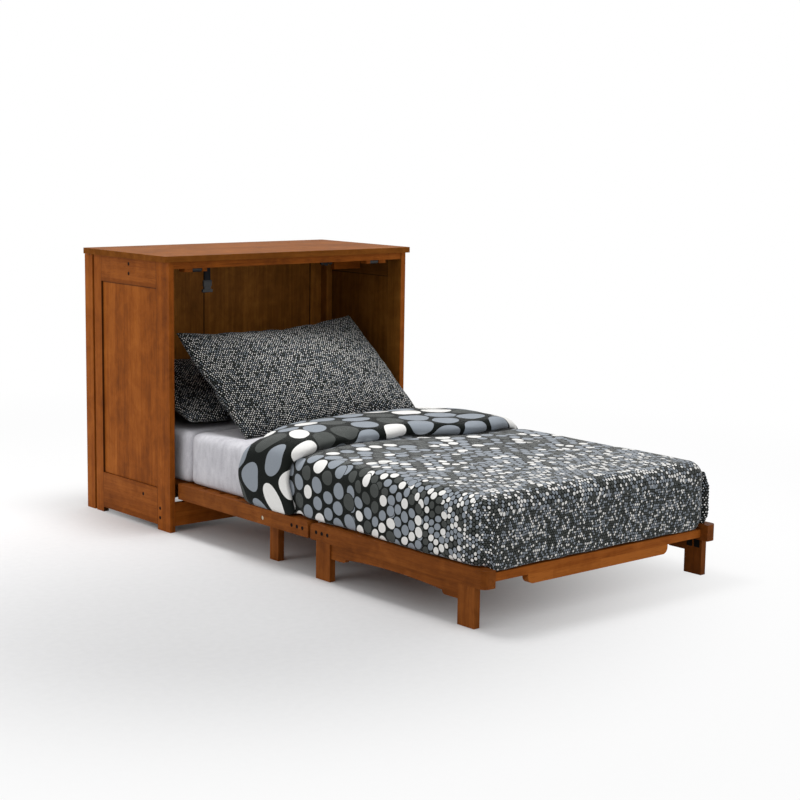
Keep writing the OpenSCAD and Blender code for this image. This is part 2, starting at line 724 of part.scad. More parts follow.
knuckle_r = leaf_drop - 0.1;
module fixed_leaf(face, y) {
    ax = face - leaf_drop;
    az = rail_z - leaf_drop;
    k = hinge_l / 3 - pass;
    block(ax - leaf_w, ax, y - hinge_l / 2, y - hinge_l / 2 + k, rail_z - leaf_t, rail_z);
    block(ax - leaf_w, ax, y + hinge_l / 2 - k, y + hinge_l / 2, rail_z - leaf_t, rail_z);
    block(ax - leaf_w, ax - knuckle_r - pass, y - hinge_l / 2, y + hinge_l / 2, rail_z - leaf_t, rail_z);
    along_y(ax, y - hinge_l / 2, az) cylinder(r = knuckle_r, h = k);
    along_y(ax, y + hinge_l / 2 - k, az) cylinder(r = knuckle_r, h = k);
    along_y(ax, y - hinge_l / 2, az) cylinder(r = hinge_pin_r, h = hinge_l);
}
module moving_leaf(face, y) {
    ax = face - leaf_drop;
    az = rail_z - leaf_drop;
    k = hinge_l / 3;
    difference() {
        union() {
            block(face - leaf_t, face, y - k / 2, y + k / 2, az - 2 * knuckle_r, az);
            block(face - leaf_t, face, y - hinge_l / 2, y + hinge_l / 2, az - leaf_h, az - knuckle_r - pass);
            along_y(ax, y - k / 2, az) cylinder(r = knuckle_r, h = k);
        }
        along_y(ax, y - hinge_l, az) cylinder(r = hinge_pin_r + run, h = 2 * hinge_l);
    }
}
mid_hinge_y = -mid_leg_y - mid_leg_w / 2;
leg_hinge_at = [for (c = [leg_a - leg_w / 2, leg_b - leg_w / 2], s = [-1, 1]) c + s * hinge_pitch / 2];
module mid_leg_leaves() { color(black) at_front() both_sides() fixed_leaf(mid_face, mid_hinge_y); }
module leg_panel_leaves() { color(black) at_front() both_sides() for (y = leg_hinge_at) fixed_leaf(leg_face, y); }
module mid_leg() {
    color(wood) at_front()
        block(mid_face, mid_face + mid_leg_t, -mid_leg_y - mid_leg_w, -mid_leg_y, 0, leg_top);
}
module mid_leg_left() { on_left() mid_leg(); }
module mid_leg_right() { mid_leg(); }
module mid_hinge() { color(black) at_front() moving_leaf(mid_face, mid_hinge_y); }
module mid_hinge_left() { on_left() mid_hinge(); }
module mid_hinge_right() { mid_hinge(); }
module legs() {
    color(wood) at_front() for (y = [leg_a, leg_b]) block(leg_face, rail_out, y - leg_w, y, 0, leg_top);
}
module legs_left() { on_left() legs(); }
module legs_right() { legs(); }
// Apron outline: flat ends, a quarter-round step and a shallow arch, as [y, z]
module apron() {
    y1 = leg_a - leg_w;
    y0 = leg_b;
    half = (y1 - y0) / 2;
    span = half - apron_flat - apron_cove;
    z_end = leg_top - apron_end_h;
    z_step = z_end + apron_cove;
    rise = apron_end_h - apron_mid_h - apron_cove;
    arch_r = (span * span + rise * rise) / (2 * rise);
    arch_a = asin(span / arch_r);
    cove = [for (a = [90:-15:0]) [half - apron_flat - apron_cove * cos(a), z_end + apron_cove * (1 - sin(a))]];
    arch = [for (k = [0:12]) let (a = arch_a * (1 - k / 12)) [arch_r * sin(a), z_step + rise - arch_r * (1 - cos(a))]];
    edge = concat([[half, leg_top], [half, z_end]], cove, arch);
    outline = concat(edge, [for (k = [len(edge) - 1:-1:0]) if (edge[k][0] > eps) [-edge[k][0], edge[k][1]]]);
    color(wood) at_front() translate([leg_face, (y0 + y1) / 2, 0])
        rotate([90, 0, 90]) linear_extrude(leg_t - apron_set) polygon(outline);
}
module apron_left() { on_left() apron(); }
module apron_right() { apron(); }
module leg_hinges() { color(black) at_front() for (y = leg_hinge_at) moving_leaf(leg_face, y); }
module leg_hinges_left() { on_left() leg_hinges(); }
module leg_hinges_right() { leg_hinges(); }

// Soft goods

mat_z = deck_z + clear_t;
mat_y1 = back_y - 8;
mid_y0 = fold_y + 15;
module mattress_part(y_hi, y_lo) {
    color(sheet_grey) at_front() translate([0, (y_hi + y_lo) / 2, mat_z])
        soft_block(mat_w, y_hi - y_lo, mat_h - mat_crown, 45, mat_r, 22, mat_crown);
}
module mattress_head() { mattress_part(mat_y1, -fold_a + 1); }
module mattress_mid() { mattress_part(-fold_a, mid_y0); }
module mattress_foot() { mattress_part(mid_y0 - fold_gap, -bed_reach + mat_foot); }
module duvet() {
    inner_w = mat_w + 3;
    foot = -bed_reach + mat_foot;
    y_hi = back_y / 2;
    top_h = mat_h + 1.6;
    l_in = y_hi - foot + 3;
    far_off = bed_reach;
    hem_z = deck_z - foot_drop + clear_t;
    module shell(w, l, h, r) { translate([0, y_hi - l / 2, mat_z]) soft_block(w, l, h, r, r, 4, mat_crown, 7); }
    // Everything past a slanted plane, on the head side or the foot side
    module past(d, side, turn) {
        translate([0, -d, mat_z + mat_h]) rotate([0, 0, turn]) rotate([-duvet_slope, 0, 0])
            translate([0, side * far_off, 0]) cube(2 * far_off, center = true);
    }
    color(dotted) at_front() difference() {
        union() {
            shell(inner_w + 2 * duvet_t, l_in + duvet_t, top_h + duvet_t - mat_crown, mat_r + 8);
            // Hem that hangs down between the side rails to the foot rail
            block(-rail_in + 1, rail_in - 1, foot - 3 - duvet_t, foot - 3, hem_z, mat_z + duvet_t);
            difference() {
                shell(inner_w + 2 * duvet_t + 8, l_in + duvet_t, top_h + duvet_t + cuff_t - mat_crown, mat_r + 12);
                past(duvet_y + cuff_l, -1, 0);
            }
        }
        translate([0, 0, -1]) shell(inner_w, l_in, top_h + 1 - mat_crown, mat_r);
        past(duvet_y, 1, duvet_turn);
    }
}
module pillow_at(y, tilt, turn, sink) {
    z = mat_z + mat_h - mat_crown * (1 - sin(67.5)) + pillow_drop(pillow_l, pillow_t, tilt) + clear_t - sink;
    color(dotted) at_front() translate([0, y, z]) rotate([0, 0, turn]) rotate([tilt, 0, 0])
        pillow_form(pillow_w, pillow_l, pillow_t);
}
module pillow_front() { pillow_at(-front_reach, front_tilt, front_turn, front_sink); }
module pillow_back() { pillow_at(back_reach, back_tilt, 0, back_sink); }

top_panel();
left_stiles();
right_stiles();
left_rails();
right_rails();
left_panel();
right_panel();
back_boards();
back_battens();
hanger_rail();
front_top_rail();
mid_rail();
mid_rail_blocks();
toe_rail();
deck_slats();
deck_cleats();
catch_left();
catch_right();
roller_pins();
straps();
buckles();
side_screws();
mattress_head();
pillow_front();
pillow_back();
roller_left();
roller_right();
front_panel_stiles();
front_panel_rails();
front_panel_field();
near_rail_left();
near_rail_right();
near_cross_rails();
near_slats();
pivot_arms();
near_hinge_plates();
near_screws();
near_bolts();
mid_leg_leaves();
mattress_mid();
duvet();
mid_leg_left();
mid_leg_right();
mid_hinge_left();
mid_hinge_right();
far_rail_left();
far_rail_right();
foot_rail();
foot_board();
far_slats();
far_hinge_plates();
far_screws();
leg_panel_leaves();
mattress_foot();
legs_left();
apron_left();
leg_hinges_left();
legs_right();
apron_right();
leg_hinges_right();
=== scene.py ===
"""Wall bed: a wooden cabinet with a folding slatted bed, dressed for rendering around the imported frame."""
import collections
import math

import bmesh
import bpy
import numpy as np
from mathutils import Matrix, Vector, noise


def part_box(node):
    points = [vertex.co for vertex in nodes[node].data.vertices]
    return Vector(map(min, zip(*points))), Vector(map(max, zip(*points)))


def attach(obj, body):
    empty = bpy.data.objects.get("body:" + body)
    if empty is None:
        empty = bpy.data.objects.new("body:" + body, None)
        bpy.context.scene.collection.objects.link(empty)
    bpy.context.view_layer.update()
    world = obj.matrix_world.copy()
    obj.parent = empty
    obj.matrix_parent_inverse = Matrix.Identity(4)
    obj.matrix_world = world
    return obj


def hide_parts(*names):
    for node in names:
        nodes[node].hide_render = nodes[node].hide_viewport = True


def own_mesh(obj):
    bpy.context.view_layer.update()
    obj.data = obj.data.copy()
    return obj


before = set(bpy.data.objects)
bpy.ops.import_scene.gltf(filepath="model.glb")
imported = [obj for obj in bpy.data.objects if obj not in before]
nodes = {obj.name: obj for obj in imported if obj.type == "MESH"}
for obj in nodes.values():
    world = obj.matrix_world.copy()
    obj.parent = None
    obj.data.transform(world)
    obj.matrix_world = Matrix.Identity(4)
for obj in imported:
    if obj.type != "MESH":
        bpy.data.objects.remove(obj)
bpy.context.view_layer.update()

# Places that several pieces share, in metres
FRONT_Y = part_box("left_stiles")[0].y
RAIL_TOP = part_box("near_rail_left")[1].z


def bed_y(y):
    """Row-frame y of a distance behind the cabinet's front face."""
    return FRONT_Y + y


def unit(value):
    """The value, kept between 0 and 1."""
    return min(1.0, max(0.0, value))


# Node materials

def srgb(red, green, blue):
    """Linear RGBA of an 8-bit display colour."""
    channels = []
    for value in (red, green, blue):
        c = value / 255
        channels.append(c / 12.92 if c <= 0.04045 else ((c + 0.055) / 1.055) ** 2.4)
    return (*channels, 1.0)


def grey(level):
    return (level, level, level, 1.0)


def add_to_scene(name, data):
    """An object of a mesh, a lamp or a camera."""
    piece = bpy.data.objects.new(name, data)
    bpy.context.scene.collection.objects.link(piece)
    return piece


class Nodes:
    """A node tree, with short calls that return sockets."""

    def __init__(self, tree):
        self.tree = tree

    def node(self, kind, inputs, **settings):
        made = self.tree.nodes.new("ShaderNode" + kind)
        for key, value in settings.items():
            setattr(made, key, value)
        for key, value in inputs.items():
            self.set(made.inputs[key], value)
        return made

    def set(self, socket, value):
        if isinstance(value, bpy.types.NodeSocket):
            self.tree.links.new(value, socket)
        else:
            socket.default_value = value

    def math(self, operation, a, b=0.0, clamp=False):
        return self.node("Math", {0: a, 1: b}, operation=operation, use_clamp=clamp).outputs[0]

    def total(self, *shares):
        """Sum of values, each times its share."""
        level = 0.0
        for value, share in shares:
            level = self.math("ADD", level, self.math("MULTIPLY", value, share))
        return level

    def vector(self, operation, a, b=(0.0, 0.0, 0.0)):
        return self.node("VectorMath", {0: a, 1: b}, operation=operation).outputs[0]

    def scaled(self, a, factor):
        return self.node("VectorMath", {0: a, "Scale": factor}, operation="SCALE").outputs[0]

    def length(self, a):
        return self.node("VectorMath", {0: a}, operation="LENGTH").outputs["Value"]

    def split(self, a):
        return self.node("SeparateXYZ", {0: a}).outputs

    def mix(self, amount, a, b, blend="MIX"):
        return self.node("Mix", {0: amount, 6: a, 7: b}, data_type="RGBA", blend_type=blend).outputs[2]

    def lerp(self, amount, a, b):
        return self.node("Mix", {0: amount, 2: a, 3: b}, data_type="FLOAT").outputs[0]

    def map_range(self, value, start, end, low=0.0, high=1.0, kind="SMOOTHSTEP"):
        """Number from low to high while a value goes from start to end."""
        inputs = {0: value, 1: start, 2: end, 3: low, 4: high}
        return self.node("MapRange", inputs, interpolation_type=kind).outputs[0]

    def ramp(self, amount, stops, interpolation="LINEAR"):
        made = self.node("ValToRGB", {0: amount})
        made.color_ramp.interpolation = interpolation
        elements = made.color_ramp.elements
        while len(elements) < len(stops):
            elements.new(0.5)
        for element, (place, colour) in zip(elements, stops):
            element.position = place
            element.color = colour
        return made.outputs[0]

    def coordinates(self, scale=(1.0, 1.0, 1.0)):
        """Object coordinates, which on a CAD node are the row frame's metres."""
        place = self.node("TexCoord", {}).outputs["Object"]
        return self.node("Mapping", {0: place, 3: scale}).outputs[0]

    def noise(self, vector, scale, detail, rough, distortion=0.0):
        return self.node("TexNoise", {"Vector": vector, "Scale": scale, "Detail": detail, "Roughness": rough,
                                      "Distortion": distortion}).outputs[0]

    def wave(self, vector, scale, distortion, direction):
        inputs = {"Vector": vector, "Scale": scale, "Distortion": distortion}
        return self.node("TexWave", inputs, bands_direction=direction).outputs[1]

    def bump(self, height, distance, strength):
        return self.node("Bump", {"Height": height, "Distance": distance, "Strength": strength}).outputs[0]

    def seen(self):
        """1 for a ray of the camera, also by way of a mirror or glass, and 0 for one that only lights."""
        rays = self.node("LightPath", {}).outputs
        bent = self.math("MAXIMUM", rays["Is Glossy Ray"], rays["Is Transmission Ray"])
        return self.math("MAXIMUM", rays["Is Camera Ray"], bent)


class Shade(Nodes):
    """A material's nodes."""

    def __init__(self, name):
        self.material = bpy.data.materials.new(name)
        self.material.use_nodes = True
        super().__init__(self.material.node_tree)
        self.tree.nodes.clear()
        self.output = self.node("OutputMaterial", {})
        self.shader = self.node("BsdfPrincipled", {})
        self.set(self.output.inputs[0], self.shader.outputs[0])

    def finish(self, **sockets):
        for name, value in sockets.items():
            self.set(self.shader.inputs[name.replace("_", " ")], value)
        return self.material


WOOD_TONES = {
    "wood": (srgb(100, 50, 15), srgb(142, 76, 24), srgb(170, 98, 38)),
    "rail": (srgb(92, 46, 14), srgb(130, 69, 23), srgb(158, 90, 36)),
    # 'top' is a darker copy of the wood for the top panel: painted shade that tones down the light it takes
    # from above
    "top": (srgb(92, 51, 16), srgb(121, 70, 26), srgb(141, 87, 37)),
    "lit": (srgb(82, 42, 14), srgb(116, 63, 23), srgb(142, 82, 34)),
    # 'dark' is a brighter, yellower copy of the wood for the back boards and battens: painted light that
    # lifts them out of the cabinet's shade
    "dark": (srgb(104, 62, 24), srgb(144, 90, 36), srgb(186, 120, 50)),
}
AXES = {"X": 0, "Y": 1, "Z": 2}
# Depth and tone of the dark joint lines, which also paint the shade in the side panels' recesses
JOINT_AND_SHADE_DEPTH = 0.8
JOINT_AND_SHADE_TONE = srgb(30, 16, 9)
# Painted shade inside the cabinet: a tint for the sides' inner faces
INSIDE_SHADE_TINT = (0.62, 0.86, 1.1, 1.0)
INNER_X = (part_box("right_panel")[0].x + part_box("right_panel")[1].x) / 2
# Edges of the openings that the sides' panels fill, and the joints between the back boards
PANEL_FRONT, PANEL_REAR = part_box("left_rails")[0].y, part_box("left_rails")[1].y
PANEL_LOW, PANEL_HIGH = 0.152, 0.874
BACK_JOINTS = (-0.0805, 0.4415)
# Width and length of most staves, and how much slower the figure changes along the grain than across it
STAVE = (0.085, 2.4)
GRAIN_SHARE = 0.045


def joint_and_shade_lines(s, colour, xyz, lines):
    """Darkens a colour along planes, each given as its axis, its place and the line's half width: dark joint
    lines, and painted shade where the lines stand for the shadow in a recess.
    """
    amount = 0.0
    for axis, place, width in lines:
        off = s.math("ABSOLUTE", s.math("SUBTRACT", xyz[AXES[axis]], place))
        line = s.map_range(off, 0.3 * width, width, JOINT_AND_SHADE_DEPTH, 0.0, "LINEAR")
        amount = s.math("MAXIMUM", line, amount)
    return s.mix(amount, colour, JOINT_AND_SHADE_TONE)


def shade_inside_cabinet(s, colour, xyz):
    """Painted shade: dulls, darkens and cools the faces of the sides that look into the cabinet, where its
    shade falls.
    """
    aside = s.math("LESS_THAN", s.math("ABSOLUTE", xyz[0]), INNER_X)
    behind = s.math("GREATER_THAN", xyz[1], FRONT_Y + 0.002)
    return s.mix(s.math("MULTIPLY", aside, behind), colour, INSIDE_SHADE_TINT, "MULTIPLY")


def wood(name, axis, tone, stave=STAVE, staving=0.1, lines=(), side=False):
    """Varnished solid wood with its grain along an axis, glued up from staves that differ by a share in
    tone, with dark lines where it meets its neighbours and painted shade in the recesses it borders."""
    s = Shade(name)
    along = AXES[axis]
    one, other = (i for i in range(3) if i != along)
    stretch = [1.0, 1.0, 1.0]
    stretch[along] = GRAIN_SHARE
    grained = s.coordinates(stretch)
    place = s.coordinates()
    xyz = s.split(place)
    across = s.math("ADD", xyz[one], xyz[other])
    plank = s.node("CombineXYZ", {0: xyz[along], 1: across}).outputs[0]
    bricks = {"Vector": plank, "Color1": grey(0.0), "Color2": grey(1.0), "Scale": 1.0, "Mortar Size": 0.0,
              "Row Height": stave[0], "Brick Width": stave[1]}
    staves = s.node("TexBrick", bricks, offset=0.37, offset_frequency=2, squash=1.0).outputs[0]
    figure = s.noise(grained, 26.0, 4.0, 0.6, 0.9)
    fibre = s.noise(grained, 210.0, 3.0, 0.65, 0.3)
    pores = s.noise(grained, 620.0, 2.0, 0.5)
    cloud = s.noise(place, 5.0, 2.0, 0.5)
    blotch = s.noise(place, 17.0, 3.0, 0.6, 0.6)
    level = s.total((figure, 0.42), (fibre, 0.2), (staves, staving), (cloud, 0.22), (blotch, 0.32))
    colour = s.ramp(level, list(zip((0.42, 0.62, 0.82), WOOD_TONES[tone])))
    streaks = s.ramp(pores, ((0.3, (0.55, 0.5, 0.45, 1)), (0.45, grey(1.0))))
    colour = s.mix(0.55, colour, streaks, "MULTIPLY")
    # Painted shade on the faces inside the cabinet
    if side:
        colour = shade_inside_cabinet(s, colour, xyz)
    if lines:
        colour = joint_and_shade_lines(s, colour, xyz, lines)
    relief = s.total((pores, 0.6), (fibre, 0.4))
    gloss = 0.006 if tone == "top" else 0.03
    return s.finish(Base_Color=colour, Roughness=s.lerp(fibre, 0.34, 0.52), Specular_IOR_Level=gloss,
                    Normal=s.bump(relief, 0.0004, 0.5))


def metal(name, colour, metallic, rough, specular=0.5):
    s = Shade(name)
    place = s.coordinates()
    cloud = s.noise(place, 90.0, 4.0, 0.6)
    grit = s.noise(place, 1800.0, 2.0, 0.5)
    dark = tuple(c * 0.7 for c in colour[:3]) + (1.0,)
    return s.finish(Base_Color=s.mix(cloud, dark, colour), Metallic=metallic, Specular_IOR_Level=specular,
                    Roughness=s.lerp(cloud, rough - 0.08, rough + 0.1), Normal=s.bump(grit, 0.0001, 0.6))


def plastic(name, colour):
    s = Shade(name)
    place = s.coordinates()
    mottle = s.noise(place, 60.0, 3.0, 0.5)
    grit = s.noise(place, 2600.0, 1.0, 0.5)
    pale = tuple(min(1.0, c * 1.5) for c in colour[:3]) + (1.0,)
    return s.finish(Base_Color=s.mix(mottle, colour, pale), Roughness=s.lerp(mottle, 0.42, 0.6),
                    Normal=s.bump(grit, 0.0001, 0.5))


def webbing(name):
    s = Shade(name)
    place = s.coordinates()
    ribs = s.wave(place, 180.0, 0.4, "Z")
    weave = s.math("MULTIPLY", ribs, s.wave(place, 130.0, 0.2, "X"))
    colour = s.ramp(weave, ((0.0, srgb(16, 16, 18)), (1.0, srgb(44, 44, 48))))
    return s.finish(Base_Color=colour, Roughness=0.85, Specular_IOR_Level=0.2,
                    Normal=s.bump(weave, 0.0006, 0.8))


# Painted shade of the cabinet on the sheet: it grows greyer between these two places, under the cabinet, by
# a share of a dark tint
SHADE_FROM, SHADE_TO = bed_y(-0.06), bed_y(0.16)
SHADE_SHARE = 0.42
SHADE_TINT = (0.3, 0.3, 0.31, 1.0)


def heather(name):
    """Grey jersey of a fitted sheet, flecked, faintly streaked, and greyer where the cabinet covers it, as
    painted shade.
    """
    s = Shade(name)
    place = s.coordinates()
    drawn = s.coordinates((1.0, 1.0, 0.4))
    fleck = s.noise(drawn, 420.0, 3.0, 0.7)
    blotch = s.noise(drawn, 46.0, 4.0, 0.62)
    soft = s.noise(place, 9.0, 2.0, 0.5)
    level = s.total((fleck, 0.34), (blotch, 0.42), (soft, 0.24))
    tones = (srgb(176, 175, 181), srgb(198, 197, 202), srgb(213, 212, 216))
    colour = s.ramp(level, list(zip((0.36, 0.52, 0.66), tones)))
    cabinet_shade = s.map_range(s.split(place)[1], SHADE_FROM, SHADE_TO, 0.0, SHADE_SHARE)
    colour = s.mix(cabinet_shade, colour, SHADE_TINT, "MULTIPLY")
    relief = s.total((s.wave(place, 420.0, 1.5, "DIAGONAL"), 0.5), (fleck, 1.0))
    return s.finish(Base_Color=colour, Roughness=0.92, Specular_IOR_Level=0.1, Sheen_Weight=0.1,
                    Normal=s.bump(relief, 0.0005, 0.6))


GROUND = srgb(25, 28, 26)
DARK_GREY = srgb(74, 77, 75)
BLUE_GREY = srgb(142, 149, 157)
OFF_WHITE = srgb(233, 232, 229)
ROW_STEP = math.sqrt(3)
# Distance from the quilt's middle at which its side begins, and over which the lines between dot sizes move
SIDE_START = 0.44
SIDE_BLEND = 0.12
# Dark rim around each dot, as a share of the spacing
DOT_RIM = 0.05
HALVES = (0.5, 0.5, 0.5)
# Dots of one size: their spacing, the lines between which they lie, their radii as shares of the spacing,
# how far they stray from even rows, and the shares of blue-grey and dark grey ones. A line has its place on
# the top and on the sides.
Layer = collections.namedtuple("Layer", "cell low high radii stray shares")


def dot_rows(s, flat, layer, half, seed):
    """Every second row of a layer's dots: masks of dot and rim, the dot's random value and its place."""
    shift = (0.5 * half + 0.31 * seed, ROW_STEP / 2 * half + 0.17 * seed, 0.0)
    place = s.vector("ADD", flat, shift)
    grid = s.vector("DIVIDE", place, (1.0, ROW_STEP, 1.0))
    number = s.vector("FLOOR", s.vector("ADD", grid, HALVES))
    key = s.vector("ADD", number, (0.0, 0.0, 7.0 * seed + 3.0 * half))
    random = s.node("TexWhiteNoise", {"Vector": key}, noise_dimensions="3D").outputs
    stray = s.vector("SUBTRACT", random["Color"], HALVES)
    stray = s.vector("MULTIPLY", stray, (layer.stray, layer.stray, 0.0))
    centre = s.vector("ADD", s.vector("MULTIPLY", number, (1.0, ROW_STEP, 0.0)), stray)
    off = s.vector("MULTIPLY", s.vector("SUBTRACT", place, centre), (1.0, 1.0, 0.0))
    away = s.length(off)
    radius = s.lerp(s.split(random["Color"])[2], *layer.radii)
    dot = s.math("LESS_THAN", away, radius)
    rim = s.math("LESS_THAN", away, s.math("ADD", radius, DOT_RIM))
    middle = s.scaled(s.vector("SUBTRACT", centre, shift), layer.cell)
    return dot, rim, random["Value"], s.split(middle)


def dotted(name, layers, wobble, sheen=0.22, turn=0.0, shaded=None):
    """Dark cotton with round dots in close rows, on the cloth's own flat layout in metres. It can carry
    painted shade from one place across to another, by a share at the first."""
    s = Shade(name)
    flat = s.node("UVMap", {}, uv_map="flat").outputs[0]
    colour = GROUND
    for index, layer in enumerate(layers):
        scaled = s.scaled(flat, 1 / layer.cell)
        if turn:
            turning = {"Vector": scaled, "Angle": turn}
            scaled = s.node("VectorRotate", turning, rotation_type="Z_AXIS").outputs[0]
        drift = s.node("TexNoise", {"Vector": scaled, "Scale": 0.22, "Detail": 1.0}).outputs["Color"]
        drift = s.scaled(s.vector("SUBTRACT", drift, HALVES), wobble)
        scaled = s.vector("ADD", scaled, drift)
        for half in (0, 1):
            dot, rim, pick, middle = dot_rows(s, scaled, layer, half, index + 1)
            aside = s.math("ABSOLUTE", middle[0])
            aside = s.math("DIVIDE", s.math("SUBTRACT", aside, SIDE_START), SIDE_BLEND, clamp=True)
            for edge, operation in ((layer.high, "LESS_THAN"), (layer.low, "GREATER_THAN")):
                if edge is not None:
                    here = s.math(operation, middle[1], s.lerp(aside, *edge))
                    dot, rim = s.math("MULTIPLY", dot, here), s.math("MULTIPLY", rim, here)
            blue, dark = layer.shares
            tint = s.ramp(pick, ((0.0, BLUE_GREY), (blue, DARK_GREY), (blue + dark, OFF_WHITE)), "CONSTANT")
            colour = s.mix(dot, s.mix(rim, colour, GROUND), tint)
    weave = s.math("MULTIPLY", s.wave(flat, 380.0, 0.6, "X"), s.wave(flat, 380.0, 0.6, "Y"))
    mottle = s.ramp(s.noise(flat, 130.0, 3.0, 0.6), ((0.3, grey(0.45)), (0.7, grey(1.0))))
    colour = s.mix(0.12, colour, mottle, "MULTIPLY")
    # Painted shade, darkest at the start place
    if shaded:
        start, end, level = shaded
        level = s.map_range(s.split(s.coordinates())[0], start, end, level, 0.0)
        colour = s.mix(level, colour, grey(0.3), "MULTIPLY")
    return s.finish(Base_Color=colour, Roughness=0.9, Specular_IOR_Level=0.05, Sheen_Weight=sheen,
                    Sheen_Roughness=0.3, Normal=s.bump(weave, 0.0003, 0.5))


STEEL = metal("black_steel", srgb(14, 13, 12), metallic=0.05, rough=0.6, specular=0.05)
BOLT = metal("pale_bolt", srgb(206, 196, 172), metallic=0.9, rough=0.35)
BLACK_PLASTIC = plastic("roller_plastic", srgb(24, 24, 25))
WEBBING = webbing("webbing")
SHEET = heather("sheet_jersey")

GRAIN = {
    "X": ("hanger_rail", "front_top_rail", "mid_rail", "mid_rail_blocks", "toe_rail", "deck_slats",
          "front_panel_rails", "near_cross_rails", "near_slats", "foot_rail", "far_slats"),
    "Y": ("deck_cleats", "catch_left", "catch_right"),
    "Z": ("front_panel_stiles", "front_panel_field"),
}
SIDE_JOINTS = (("Y", PANEL_FRONT, 0.0014), ("Y", PANEL_REAR, 0.0014))
# Painted shade in the recess round each side panel: lines along the opening's edges, wider at the top and
# rear, where the shadow falls, than at the front and bottom
PANEL_RECESS_SHADE = (("Y", PANEL_FRONT, 0.0020), ("Y", PANEL_REAR, 0.0075), ("Z", PANEL_LOW, 0.0020),
                ("Z", PANEL_HIGH, 0.0060))
BED_RAILS = ("near_rail_left", "near_rail_right", "far_rail_left", "far_rail_right", "apron_left",
             "apron_right")
BED_LEGS = ("mid_leg_left", "mid_leg_right", "legs_left", "legs_right")
OTHER_FINISHES = {
    "near_bolts": BOLT,
    "roller_left": BLACK_PLASTIC,
    "roller_right": BLACK_PLASTIC,
    "foot_board": wood("wood_foot_board", "X", "wood", (0.042, 0.21), 0.3),
    "top_panel": wood("wood_top", "X", "top", (0.085, 1.4), 0.04),
    "back_boards": wood("wood_back", "Z", "dark", (0.11, 3.0), 0.16,
                        [("X", x, 0.0042) for x in BACK_JOINTS]),
    "back_battens": wood("wood_batten", "Z", "dark"),
}
STEEL_NODES = ("pivot_arms", "near_hinge_plates", "far_hinge_plates", "near_screws", "far_screws",
               "side_screws", "mid_leg_leaves", "leg_panel_leaves", "mid_hinge_left", "mid_hinge_right",
               "leg_hinges_left", "leg_hinges_right", "roller_pins")
# Widths of the eased edges
WOOD_EDGE = 0.0014
STEEL_EDGE = 0.0003
EDGES = {"near_bolts": 0.0004, "roller_left": 0.0004, "roller_right": 0.0004, "top_panel": 0.0032}


def ease_edges(piece, width, segments=2, angle=30.0, harden=True):
    bevel = piece.modifiers.new("eased_edges", "BEVEL")
    bevel.width = width
    bevel.segments = segments
    bevel.limit_method = "ANGLE"
    bevel.angle_limit = math.radians(angle)
    bevel.harden_normals = harden


def dress_node(name, material, edge=WOOD_EDGE):
    """Gives a CAD node its material and eases its sharp edges."""
    node = nodes[name]
    node.data.materials.clear()
    node.data.materials.append(material)
    ease_edges(node, edge, angle=40.0)


for axis, names in GRAIN.items():
    grain = wood("wood_" + axis.lower(), axis, "wood")
    for name in names:
        dress_node(name, grain)
for prefix in ("left", "right"):
    for kind, axis, tone, lines in (("stiles", "Z", "wood", SIDE_JOINTS),
                                    ("rails", "Y", "rail", SIDE_JOINTS),
                                    ("panel", "Z", "wood", PANEL_RECESS_SHADE)):
        side_name = prefix + "_" + kind
        dress_node(side_name, wood("wood_" + side_name, axis, tone, lines=lines, side=True))
for names, axis in ((BED_RAILS, "Y"), (BED_LEGS, "Z")):
    grain = wood("wood_bed_" + axis.lower(), axis, "lit", (0.085, 1.6))
    for name in names:
        dress_node(name, grain)
for name in STEEL_NODES:
    dress_node(name, STEEL, STEEL_EDGE)
for name, material in OTHER_FINISHES.items():
    dress_node(name, material, EDGES.get(name, WOOD_EDGE))


# Meshes

def add_object(name, mesh, material):
    """A smooth-shaded object of a mesh."""
    mesh.materials.append(material)
    mesh.polygons.foreach_set("use_smooth", [True] * len(mesh.polygons))
    mesh.update()
    return add_to_scene(name, mesh)


def add_mesh(name, points, faces, flat, material):
    """An object of points and faces, with the cloth's flat layout as face-corner UVs unless it is None."""
    mesh = bpy.data.meshes.new(name)
    mesh.from_pydata([tuple(p) for p in points], [], faces)
    if flat is not None:
        corners = [corner for face in flat for corner in face]
        mesh.uv_layers.new(name="flat").data.foreach_set("uv", np.array(corners, np.float32).ravel())
    return add_object(name, mesh, material)


def add_built(name, bm, material):
    mesh = bpy.data.meshes.new(name)
    bm.to_mesh(mesh)
    bm.free()
    return add_object(name, mesh, material)


def subdivide(piece):
    modifier = piece.modifiers.new("rounding", "SUBSURF")
    modifier.levels = 1
    modifier.render_levels = 1


def tube(rings, around):
    """Corners, each as its ring and its place round it, of the faces of a tube with closed ends."""
    faces = []
    for i in range(rings - 1):
        for k in range(around):
            faces.append([(i, k), (i + 1, k), (i + 1, k + 1), (i, k + 1)])
    faces.append([(0, k) for k in range(around)])
    faces.append([(rings - 1, k) for k in reversed(range(around))])
    return faces


def tube_faces(corners, around):
    """Numbers of a tube's corners, when its points are listed ring after ring."""
    return [[i * around + k % around for i, k in face] for face in corners]


def sway(point, scale, seed):
    """Smooth noise from -1 to 1 at a point, for features of that size in metres."""
    return noise.noise(Vector(point) / scale + Vector((seed, 3.1 * seed, -1.7 * seed)))


# Mattress in its fitted sheet: three blocks with soft edges

